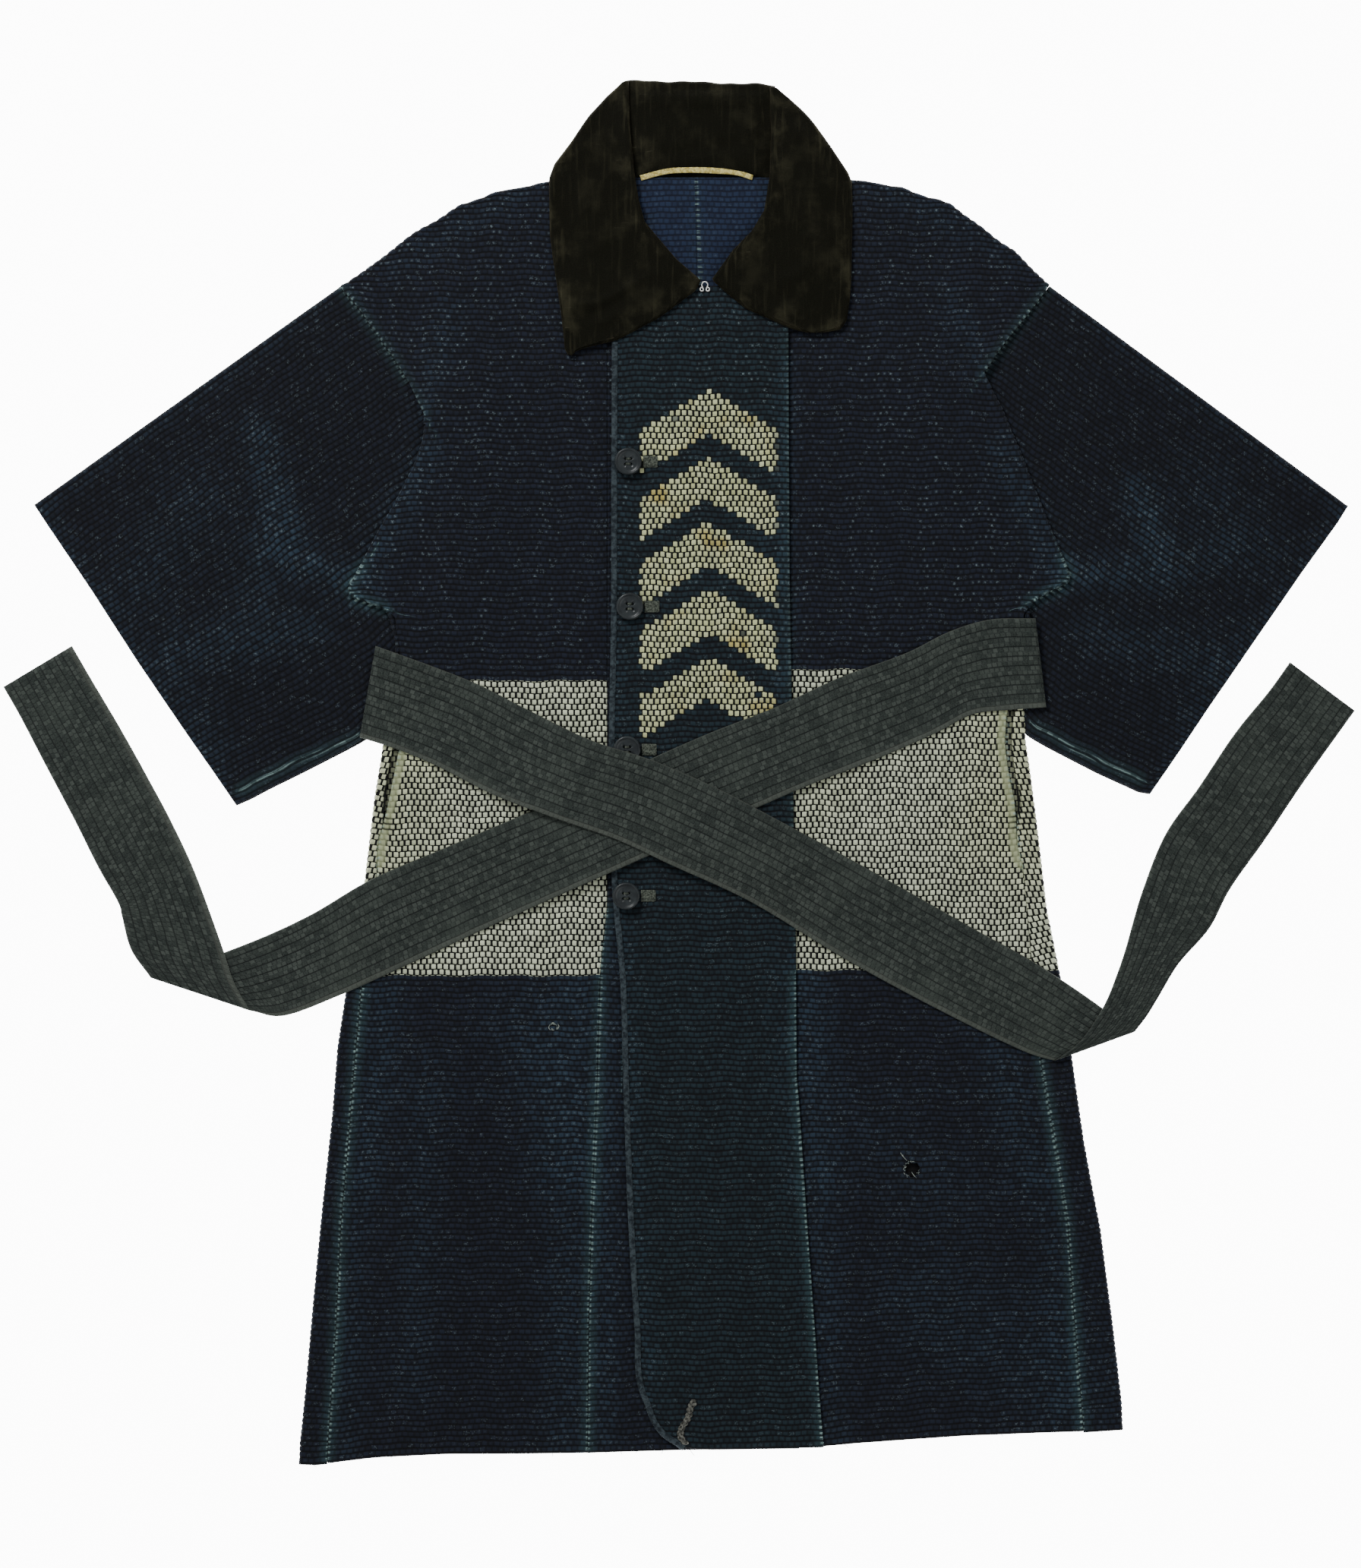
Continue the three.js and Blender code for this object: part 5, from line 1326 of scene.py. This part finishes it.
# Seams with pale stitches: points, strength, and the side of the cloth where they show
SEAMS = [
    ([(89, 357), (90.5, 84), (95.3, -141)], 0.3, "front"),
    ([(95.3, -165), (96.1, -253.6), (101.4, -332.6), (107.3, -405.8), (113.5, -497), (117, -550)],
     1.0, "front"),
    ([(-59, -112), (-63.2, -146.6), (-67.6, -284), (-70.7, -355.6), (-73.2, -432.8), (-74.4, -556)],
     0.9, "front"),
    ([(-258, -176), (-263.5, -227), (-268.6, -291.5), (-275, -355.6), (-279, -450), (-286.6, -560)],
     0.9, "front"),
    ([(289, -170), (295.7, -240), (306, -300), (317, -370), (322.4, -450), (329, -536)], 0.9, "front"),
    ([(-258, 168), (-269, 150), (-263, 140), (-240, 133)], 0.9, "front"),
    ([(312, 174), (318.5, 160), (312, 150.5), (286, 139)], 0.9, "front"),
    ([(-228, 16), (-237.5, -26.7), (-245, -60), (-246, -84)], 1.0, "front"),
    ([(265.5, 46), (267.8, 4), (275, -41), (280, -79)], 1.0, "front"),
    ([(-276.6, 396), (-254.8, 369), (-233, 337.6), (-207.5, 292)], 0.5, "front"),
    ([(302.3, 396.5), (282, 370.5), (248.3, 325.5)], 0.5, "front"),
    ([(-356.5, -14.6), (-322.4, 3.4), (-290.2, 17.2), (-260.4, 30)], 0.8, "front"),
    ([(374.8, -5.9), (322.4, 18.5), (291.4, 37.1)], 0.8, "front"),
    ([(13.5, 500), (17.1, 405), (21, -575)], 0.9, "back"),
]
POCKETS = ([(-232, 30), (-243, -60)], [(267, 40), (276, -60)])  # yellowed by use round these
SEAM_REACH = 24  # a seam's distance is kept up to here
BACK_HEIGHT = 5.6  # in the middle, the backs and their inner sides lie lower than this
UNDERSIDE = 1  # and the outer side of the backs lower than this


def near_line(x, y, points):
    """Distance from places to a line of points."""
    best = np.full(x.shape, 1e9)
    for (ax, ay), (bx, by) in zip(points, points[1:]):
        run_x, run_y = bx - ax, by - ay
        part = ((x - ax) * run_x + (y - ay) * run_y) / (run_x**2 + run_y**2)
        part = np.clip(part, 0, 1)
        best = np.minimum(best, np.hypot(x - ax - part * run_x, y - ay - part * run_y))
    return best


def side_of(x, y, points):
    """Which side of a line of points each place is on: 1 or -1."""
    best, sides = np.full(x.shape, 1e9), np.ones(x.shape)
    for (ax, ay), (bx, by) in zip(points, points[1:]):
        distance = near_line(x, y, [(ax, ay), (bx, by)])
        turn = (x - ax) * (by - ay) - (y - ay) * (bx - ax)
        sides = np.where(distance < best, np.where(turn >= 0, 1, -1), sides)
        best = np.minimum(best, distance)
    return sides


def slit_facts(x, y, z):
    """Painted shade inside the pocket slits and over their openings, and the slits' turned lips."""
    shade, lip = np.zeros(len(x)), np.zeros(len(x))
    inner_face = (z > 1.2) & (z < 4.6) & (y > -50) & (y < 80)
    for edge, seam, sign in ((EDGE["right"], SEAM["right"], 1), (EDGE["left"], SEAM["left"], -1)):
        beside = (x * sign < 0) & (np.abs(x) > 150)
        depth = (x - at(edge, y)) * sign
        # Painted shade on the inner face seen through a slit.
        shade[inner_face & beside & (depth > 2.0) & (depth < 24.0)] = 1
        outside = (at(seam, y) - x) * sign
        width = 5.2 * np.clip((y + 43) / 20, 0, 1) * np.clip((72 - y) / 10, 0, 1)
        # Painted shade on whatever shows in a slit's opening, beside the seam.
        shade[beside & (z > 1.0) & (outside > 0.3) & (outside < width)] = 1
        along = np.clip((y + 88) / 16, 0, 1)
        distance = np.abs(x - at(seam, y))
        near = beside & (z > 3.6) & ((x - at(seam, y)) * sign > -1.0)
        lip = np.where(near, along * np.clip((11 - distance) / 8, 0, 1), lip)
    return shade, lip


def cloth_facts(band=None, figured=False, sleeve_cloth=False):
    """Wear, seams, white band and the figured column of a cloth piece, by point."""

    def facts(points, uvs):
        x, y, z = points.T
        worn = np.zeros(len(x))
        for start_x, start_y, end_x, end_y, width, strength in WORN:
            distance = near_line(x, y, [(start_x, start_y), (end_x, end_y)])
            worn = 1 - (1 - worn) * (1 - strength * np.exp(-((distance / width) ** 2)))
        seam, power = np.full(len(x), 1e6), np.zeros(len(x))
        for line, strength, face in SEAMS:
            if face == "back":
                shows = z < BACK_HEIGHT
            else:
                thin_front = (np.abs(x) > 220) | ((np.abs(x + 66) < 24) & (z > 3))
                shows = ((z >= BACK_HEIGHT) | thin_front) & ((z > UNDERSIDE) | (y > 130))
            distance = near_line(x, y, line)
            nearer = shows & (distance < np.abs(seam))
            seam = np.where(nearer, distance * side_of(x, y, line), seam)
            power = np.where(nearer, strength * (distance < SEAM_REACH), power)
        seam = np.clip(seam, -SEAM_REACH, SEAM_REACH)
        v = uvs[:, 1] / MM
        inside = (v >= band[0] * PITCH - 0.01) & (v <= band[1] * PITCH + 0.01) if band else False
        inner_back = (z > UNDERSIDE) & (z < 5.5)
        bright = np.where((y > 380) & inner_back & (np.abs(x - 18) < 56), 1.0, 0.0)
        shade, lip = slit_facts(x, y, z)
        pocket = sum(np.exp(-((near_line(x, y, line) / 42) ** 2)) for line in POCKETS)
        return {
            "worn": worn,
            "seam": seam,
            "seam_power": power,
            "band": np.broadcast_to(np.asarray(inside, dtype=float), x.shape),
            "figured": np.full(len(x), float(figured)),
            "sleeve": np.full(len(x), float(sleeve_cloth)),
            "bright": bright,
            "stain": np.clip(pocket, 0, 1),
            "shade": shade,
            "lip": lip,
        }

    return facts


def velvet_facts(points, uvs):
    """Where the velvet shows wear from rubbing and painted sheen: along the leaves' free edges, the
    roll and the top fold.
    """
    x, y = points[:, 0], points[:, 1]
    rubbed_and_sheen = np.full(len(x), 0.12)
    for side in ("right", "left"):
        outer = near_line(x, y, LEAF_OUTER[side])
        inner = near_line(x, y, LEAF_INNER[side])
        rubbed_and_sheen = np.maximum(rubbed_and_sheen, 0.95 * np.exp(-((outer / 13) ** 2)))
        rubbed_and_sheen = np.maximum(rubbed_and_sheen, 0.75 * np.exp(-(((inner - 4) / 12) ** 2)))
    rubbed_and_sheen = np.maximum(rubbed_and_sheen, 0.8 * np.exp(-(((y - 562) / 9) ** 2)))
    return {"rubbed_and_sheen": rubbed_and_sheen}


# Materials, as sums of values
class Value:
    """A shader value that adds, multiplies and so on."""

    def __init__(self, net, socket):
        self.net, self.socket = net, socket

    def ramp(self, start, end):
        """0 at start, 1 at end, smooth between."""
        return self.net.ramp(self, start, end)

    def limited(self):
        return self.net.math("MINIMUM", self.net.math("MAXIMUM", self, 0.0), 1.0)


def operation(name, turned=False):
    """A method of Value that does one operation, on its values in turned order if so asked."""

    def method(self, *others):
        return self.net.math(name, *((*others, self) if turned else (self, *others)))

    return method


for sign, name in (("add", "ADD"), ("sub", "SUBTRACT"), ("mul", "MULTIPLY"), ("truediv", "DIVIDE")):
    setattr(Value, f"__{sign}__", operation(name))
    setattr(Value, f"__r{sign}__", operation(name, turned=True))
for word, name in (("floor", "FLOOR"), ("fraction", "FRACT"), ("size", "ABSOLUTE"), ("power", "POWER")):
    setattr(Value, word, operation(name))


class Net:
    """One material's nodes."""

    def __init__(self, name, roughness=0.95, sheen=0.0, specular=0.25):
        self.material = bpy.data.materials.new(name)
        self.material.use_nodes = True
        self.tree = self.material.node_tree
        self.shader = self.tree.nodes["Principled BSDF"]
        self.shader.inputs["Roughness"].default_value = roughness
        self.shader.inputs["Specular IOR Level"].default_value = specular
        self.shader.inputs["Sheen Weight"].default_value = sheen
        self.shader.inputs["Sheen Roughness"].default_value = 0.45

    def node(self, kind, inputs=None, **settings):
        made = self.tree.nodes.new(kind)
        for key, value in settings.items():
            setattr(made, key, value)
        for key, value in (inputs or {}).items():
            self.put(made.inputs[key], value)
        return made

    def put(self, socket, value):
        if isinstance(value, Value):
            self.tree.links.new(value.socket, socket)
        elif isinstance(value, tuple) and len(value) == 3 and socket.type == "RGBA":
            socket.default_value = (*value, 1)
        else:
            socket.default_value = value

    def math(self, operation, *values):
        made = self.node("ShaderNodeMath", operation=operation)
        for k, value in enumerate(values):
            self.put(made.inputs[k], value)
        return Value(self, made.outputs[0])

    def ramp(self, value, start, end):
        low, high = (start, end) if start < end else (end, start)
        results = (0.0, 1.0) if start < end else (1.0, 0.0)
        made = self.node(
            "ShaderNodeMapRange",
            {"Value": value, "From Min": low, "From Max": high, "To Min": results[0],
             "To Max": results[1]},
            interpolation_type="SMOOTHSTEP",
        )
        return Value(self, made.outputs["Result"])

    def uv(self):
        """Place on the cloth in millimetres."""
        parts = self.node("ShaderNodeSeparateXYZ", {
            "Vector": Value(self, self.node("ShaderNodeUVMap", uv_map="cloth").outputs["UV"]),
        })
        return Value(self, parts.outputs["X"]) * 1000.0, Value(self, parts.outputs["Y"]) * 1000.0

    def place(self, x=0.0, y=0.0, z=0.0):
        return Value(self, self.node("ShaderNodeCombineXYZ", {"X": x, "Y": y, "Z": z}).outputs[0])

    def fact(self, name):
        return Value(self, self.node("ShaderNodeAttribute", attribute_name=name).outputs["Fac"])

    def noise(self, place, scale=1.0, detail=2.0, roughness=0.5):
        made = self.node("ShaderNodeTexNoise", {
            "Vector": place, "Scale": scale, "Detail": detail, "Roughness": roughness,
        })
        return Value(self, made.outputs["Fac"])

    def random(self, place):
        return Value(self, self.node("ShaderNodeTexWhiteNoise", {"Vector": place}).outputs["Value"])

    def mix(self, first, second, share):
        made = self.node("ShaderNodeMix", data_type="RGBA")
        self.put(made.inputs[0], share)
        self.put(made.inputs[6], first)
        self.put(made.inputs[7], second)
        return Value(self, made.outputs[2])

    def finish(self, colour, height, distance, strength):
        self.put(self.shader.inputs["Base Color"], colour)
        bump = self.node("ShaderNodeBump", {
            "Height": height, "Distance": distance, "Strength": strength,
        })
        self.put(self.shader.inputs["Normal"], Value(self, bump.outputs["Normal"]))
        return self.material


FLOAT_STEP = 5.0
# Darkest colour of the ribs, deep in their grooves: painted shade
GROOVE_SHADE_COLOUR = (0.0008, 0.0011, 0.0022)
RIB_COLOUR = (0.0068, 0.0098, 0.0192)
PANEL_COLOUR = (0.0085, 0.018, 0.0245)
WORN_COLOUR = (0.022, 0.044, 0.068)
SPECK_COLOUR = (0.13, 0.175, 0.19)
SEAM_COLOUR = (0.27, 0.39, 0.37)
SEAM_GLOW = (0.035, 0.078, 0.084)
WHITE_FLOAT = (0.56, 0.605, 0.45)
OLD_FLOAT = (0.5, 0.53, 0.27)
LIP_COLOUR = (0.27, 0.3, 0.17)
BAND_GROUND = (0.002, 0.0025, 0.0025)
NECK_DARK = (0.004, 0.006, 0.016)
NECK_BLUE = (0.011, 0.02, 0.048)


def indigo_cloth():
    """Ribbed indigo cotton with floats, a white band and a column of mountain bands."""
    net = Net("indigo_cloth", sheen=0.02)
    u, v = net.uv()
    sway = net.noise(net.place(u * 0.09, v * 0.12), 1.0, 2.0) - 0.5
    shown_band = net.fact("band").ramp(0.45, 0.55)
    v = v + sway * (1.6 - shown_band * 1.0)
    rib = v / PITCH
    row = rib.floor()
    in_rib = rib - row
    parity = (row * 0.5).fraction()
    row_shift = net.random(net.place(row, 7.0)) * 0.22
    lane = u / FLOAT_STEP + parity + row_shift
    column = lane.floor()
    in_lane = lane - column
    chance = net.random(net.place(column, row, 1.0))
    second = net.random(net.place(column, row, 2.0))
    third = net.random(net.place(column, row, 3.0))
    away_u = ((in_lane - 0.5) * FLOAT_STEP).size()
    away_v = ((in_rib - 0.5 + (second - 0.5) * 0.05) * PITCH).size()
    size = 1.66 + (chance - 0.5) * 0.4
    rim = ((away_u / size).power(8.0) + (away_v / 1.93).power(8.0)).power(0.125)
    edge = net.noise(net.place(u, v), 1.3, 1.0) - 0.5
    blob = (rim + edge * 0.22).ramp(1.05, 0.96)
    crest = away_v.ramp(2.3, 0.9)
    yarn = net.noise(net.place(u * 0.6, v * 1.5), 1.0, 2.0)
    twist = net.noise(net.place(u * 1.5, v * 0.45, 3.0), 1.0, 2.0)
    broad = net.noise(net.place(u * 0.012, v * 0.012), 1.0, 3.0)
    worn = (net.fact("worn") * (0.45 + broad * 0.95)).limited()

    beads = 0.42 + blob * 0.58
    tone = crest * beads * (0.25 + yarn * 0.6 + twist * 0.7) * (0.6 + chance * 0.6)
    figured = net.fact("figured")
    tone = tone * (1.0 - net.fact("sleeve") * 0.32)
    # The ribs go dark toward their grooves: painted shade in the grooves, mixed with the yarn's own
    # tone that varies along the ribs.
    plain_cloth = net.mix(GROOVE_SHADE_COLOUR, net.mix(RIB_COLOUR, PANEL_COLOUR, figured), tone)
    fading = worn * (0.25 + chance * 0.75) * crest * (0.3 + twist * 1.0) * beads
    fading = (fading * (1.0 - net.fact("sleeve") * 0.25)).limited()
    plain_cloth = net.mix(plain_cloth, WORN_COLOUR, fading)
    dot = net.noise(net.place(u + 31.0, v), 0.8, 0.0)
    rare = net.random(net.place(column, row, 9.0))
    level_place = row * PITCH
    upright = net.noise(net.place(u * 0.16, v * 0.008, 6.0), 1.0, 2.0).ramp(0.42, 0.66)
    round_dot = away_u.ramp(1.3, 0.3) * away_v.ramp(1.3, 0.3) * (0.3 + dot.ramp(0.35, 0.6) * 0.7)
    chest = level_place.ramp(30.0, 160.0) * (1.0 - net.fact("sleeve"))
    often = 0.05 + upright * (0.1 + chest * 0.4) + worn * 0.3
    bright_dot = round_dot * rare.ramp(0.35, 0.95) * often
    speck = (bright_dot + dot.ramp(0.6, 0.72) * rare.ramp(0.7, 0.97) * crest * 0.25).limited()
    plain_cloth = net.mix(plain_cloth, SPECK_COLOUR, speck)

    power = net.fact("seam_power")
    distance = net.fact("seam") + (net.noise(net.place(v * 0.3, 4.0), 1.0, 1.0) - 0.5) * 2.2
    on_seam = distance.size().ramp(2.3, 0.9)
    dash = net.noise(net.place(v * 0.6, 8.0), 1.0, 2.0)
    stitched = (on_seam * power * dash.ramp(0.38, 0.62) * away_v.ramp(1.6, 0.8)).limited()
    glow = distance.size().ramp(10.0, 0.5) * power * (0.1 + twist * 0.9)
    glow = (glow * (0.3 + crest * 0.7) * (0.2 + broad * 1.1)).limited()

    float_tone = (0.66 + chance * 0.36) * (0.78 + yarn * 0.3)
    stain = (net.fact("stain") * 0.75 + broad.ramp(0.5, 0.75) * 0.3).limited()
    white = net.mix(WHITE_FLOAT, OLD_FLOAT, stain * 0.6)
    missing = net.random(net.place(column, row, 4.0)).ramp(0.0015, 0.003)
    centre = (column - parity - row_shift + 0.5) * FLOAT_STEP
    level = (row + 0.5) * PITCH
    sideways = (centre - 24.0).size()
    climb = level + sideways * 0.6
    bands = ((climb - 59.0) / 54.2).fraction().ramp(0.663, 0.662)
    zone = climb.ramp(59.0, 59.1) * climb.ramp(312.1, 312.0) * sideways.ramp(56.0, 55.0)
    figure = figured * bands * zone * missing
    old = net.mix(OLD_FLOAT, WHITE_FLOAT, third * 0.35)
    old = net.mix(old, (0.42, 0.33, 0.08), net.noise(net.place(u, v), 0.03, 2.0).ramp(0.52, 0.75))
    patterned = (shown_band + figure).limited()
    shown = patterned * blob * float_tone
    ground = patterned * 0.95
    colour = net.mix(plain_cloth, BAND_GROUND, ground)
    colour = net.mix(colour, net.mix(white, old, figure), shown)
    lip = net.fact("lip").ramp(0.4, 0.75) * shown_band
    colour = net.mix(colour, LIP_COLOUR, lip * (0.55 + yarn * 0.45))
    # Painted shade: near black in the pocket slits.
    colour = net.mix(colour, (0.0012, 0.0014, 0.0014), net.fact("shade"))
    colour = net.mix(colour, SEAM_GLOW, glow * 0.75 * (1.0 - ground))
    colour = net.mix(colour, SEAM_COLOUR, stitched * 0.85 * (0.2 + chance * 0.8))
    # Painted shade under the worn hole: the back cloth seen through it goes near black.
    spot = net.node("ShaderNodeSeparateXYZ", {
        "Vector": Value(net, net.node("ShaderNodeTexCoord").outputs["Object"]),
    })
    spot_x, spot_y, spot_z = (Value(net, spot.outputs[axis]) * 1000.0 for axis in "XYZ")
    hole = ((spot_x - HOLE[0]).power(2.0) + (spot_y - HOLE[1]).power(2.0)).power(0.5)
    hole = hole.ramp(8.5, 6.5) * spot_z.ramp(4.4, 3.6) * spot_z.ramp(0.6, 1.4)
    colour = net.mix(colour, (0.0008, 0.0009, 0.0012), hole)
    neck = net.mix(NECK_DARK, NECK_BLUE, (tone * 1.2).limited())
    colour = net.mix(colour, neck, net.fact("bright") * 0.8 * (1.0 - stitched))
    height = blob * (0.15 + patterned * 0.55) + crest * 0.45 + yarn * 0.2
    height = height + twist * 0.3 + stitched * 0.2
    return net.finish(colour, height, 0.0006, 0.9)


def velvet():
    """Dark brown velvet, lighter in places from wear and from painted sheen on its edges and folds."""
    net = Net("velvet", roughness=0.85, sheen=0.1, specular=0.08)
    net.put(net.shader.inputs["Sheen Tint"], (0.5, 0.42, 0.26))
    u, v = net.uv()
    pile = net.noise(net.place(u, v), 1.4, 3.0)
    cloud = net.noise(net.place(u * 0.04, v * 0.035), 1.0, 4.0, 0.62)
    streak = net.noise(net.place(u * 0.3, v * 0.025), 1.0, 3.0)
    scratch = net.noise(net.place(u * 0.05, v * 0.5, 2.0), 1.0, 2.0)
    rubbed_and_sheen = cloud.ramp(0.46, 0.7) * 0.5 + streak.ramp(0.52, 0.72) * 0.35
    rubbed_and_sheen = (rubbed_and_sheen * (0.32 + net.fact("rubbed_and_sheen") * 1.1)).limited()
    thin = scratch.ramp(0.66, 0.72) * cloud.ramp(0.5, 0.62) * 0.5
    colour = net.mix((0.0012, 0.0013, 0.0005), (0.0052, 0.0052, 0.0023), pile.ramp(0.3, 0.7))
    # Lighter where the pile is worn by rubbing, and painted sheen along the leaves' edges, the roll and
    # the top fold.
    colour = net.mix(colour, (0.036, 0.034, 0.019), rubbed_and_sheen * 0.75)
    colour = net.mix(colour, (0.06, 0.055, 0.038), thin * net.fact("rubbed_and_sheen"))
    return net.finish(colour, pile * 0.5 + cloud * 3.0 + streak, 0.0008, 0.6)


def belt_cotton():
    """Grey-green cotton with lengthwise rows of stitching and a grid of worn threads."""
    net = Net("belt_cotton")
    u, v = net.uv()
    row_width = BELT_WIDTH / BELT_ROWS
    wander = (net.noise(net.place(u * 0.05, v * 0.05), 1.0, 1.0) - 0.5) * 1.2
    rows = (v + wander) / row_width
    in_row = (rows.fraction() - 0.5).size()
    line = in_row.ramp(0.38, 0.49)
    lane = rows * 2.0
    step = u / 4.2 + net.random(net.place(lane.floor(), 3.0))
    cell = net.random(net.place(step.floor(), lane.floor(), 1.0))
    in_u = (step.fraction() - 0.5).size()
    in_v = (lane.fraction() - 0.5).size()
    patch = in_u.ramp(0.53, 0.3) * in_v.ramp(0.58, 0.3)
    fibre = net.noise(net.place(u, v), 0.9, 3.0, 0.6)
    weave = net.noise(net.place(u * 0.25, v * 1.3), 1.0, 2.0)
    cloud = net.noise(net.place(u, v), 0.02, 3.0)
    colour = net.mix((0.0085, 0.0115, 0.0105), (0.027, 0.0345, 0.0305), fibre.ramp(0.3, 0.7))
    worn = (patch * cell.power(1.4) * (0.25 + weave * 0.75)).limited()
    colour = net.mix(colour, (0.09, 0.106, 0.092), worn * 0.58)
    colour = net.mix(colour, (0.042, 0.052, 0.044), cloud.ramp(0.45, 0.75) * 0.45)
    dark = line * (0.5 + net.noise(net.place(u * 0.8, v * 0.2), 1.0, 1.0) * 0.7)
    tick = in_u.ramp(0.42, 0.5) * in_v.ramp(0.5, 0.3) * 0.6
    colour = net.mix(colour, (0.0045, 0.0065, 0.0065), ((dark + tick) * 0.7).limited())
    border = (v - BELT_WIDTH / 2).size().ramp(33.0, 33.8)
    colour = net.mix(colour, (0.085, 0.095, 0.08), border * 0.4)
    height = patch * 0.5 + fibre * 0.5 - line * 0.9 - tick * 0.4
    return net.finish(colour, height, 0.0005, 0.85)


def simple(name, dark, pale, scale, roughness=0.92, bump=0.0003):
    """Two tones and a fine grain."""
    net = Net(name, roughness=roughness)
    place = Value(net, net.node("ShaderNodeTexCoord").outputs["Object"])
    grain = net.noise(place, scale * 1000.0, 3.0, 0.6)
    colour = net.mix(dark, pale, grain.ramp(0.35, 0.68))
    return net.finish(colour, grain, bump, 0.6)


# Plain materials: dark and pale tone, scale of the grain, roughness and bump
PLAIN = {
    "button": ((0.012, 0.015, 0.017), (0.021, 0.026, 0.028), 0.12, 0.3, 0.00003),
    "tape": ((0.3, 0.24, 0.06), (0.6, 0.53, 0.22), 0.6),
    "edge_binding": ((0.006, 0.01, 0.014), (0.036, 0.05, 0.058), 0.3),
    "buttonhole_thread": ((0.016, 0.02, 0.016), (0.085, 0.098, 0.078), 0.7),
    "loop_thread": ((0.02, 0.021, 0.018), (0.13, 0.132, 0.115), 0.45),
    "steel_wire": ((0.6, 0.6, 0.58), (0.85, 0.85, 0.82), 0.3, 0.4, 0.0),
    "loose_thread": ((0.12, 0.15, 0.14), (0.36, 0.4, 0.36), 0.5),
}
materials = {"indigo_cloth": indigo_cloth(), "velvet": velvet(), "belt_cotton": belt_cotton()}
for name, row in PLAIN.items():
    materials[name] = simple(name, *row)

# Assembly
BANDS = {"right": (-36, 16), "left": (-35, 18)}  # first and last rib of the white band
for side in ("right", "left"):
    body(side, materials["indigo_cloth"], cloth_facts(BANDS[side]))
    sleeve(side, materials["indigo_cloth"], cloth_facts(sleeve_cloth=True))
    overlap(side, materials["indigo_cloth"], cloth_facts(figured=side == "left"))
    collar_leaf(side, materials["velvet"], velvet_facts)
collar_back(materials["velvet"], velvet_facts)
belt(materials["belt_cotton"])
trims(materials)
loose_threads(materials)
buttons(materials)
neck_eye(materials["steel_wire"])

# Floor, lights and camera
bpy.ops.mesh.primitive_plane_add(size=8, location=(0, 0, -0.0005))
floor = bpy.context.object
floor.name = "floor"
paper = bpy.data.materials.new("paper")
paper.use_nodes = True
paper_shader = paper.node_tree.nodes["Principled BSDF"]
paper_shader.inputs["Base Color"].default_value = (0.3, 0.3, 0.3, 1)
paper_shader.inputs["Emission Color"].default_value = (1, 1, 1, 1)
paper_shader.inputs["Emission Strength"].default_value = 12.0
floor.data.materials.append(paper)

for name, place, size, power in (
    ("key", (-1.3, 2.2, 2.0), 0.9, 95),
    ("fill", (1.9, -1.2, 2.8), 2.4, 30),
):
    light = bpy.data.lights.new(name, "AREA")
    light.size = size
    light.energy = power
    lamp = bpy.data.objects.new(name, light)
    lamp.location = place
    lamp.rotation_euler = (-Vector(place)).to_track_quat("-Z", "Y").to_euler()
    bpy.context.scene.collection.objects.link(lamp)

world = bpy.data.worlds.new("room")
bpy.context.scene.world = world
world.use_nodes = True
world.node_tree.nodes["Background"].inputs["Color"].default_value = (1, 1, 1, 1)
world.node_tree.nodes["Background"].inputs["Strength"].default_value = 0.5

camera_data = bpy.data.cameras.new("camera")
camera_data.lens = 85
camera_data.sensor_width = 36
camera_data.sensor_fit = "AUTO"
camera = bpy.data.objects.new("camera", camera_data)
camera.location = (0.00124, -0.00992, 3.023)
bpy.context.scene.collection.objects.link(camera)
bpy.context.scene.camera = camera
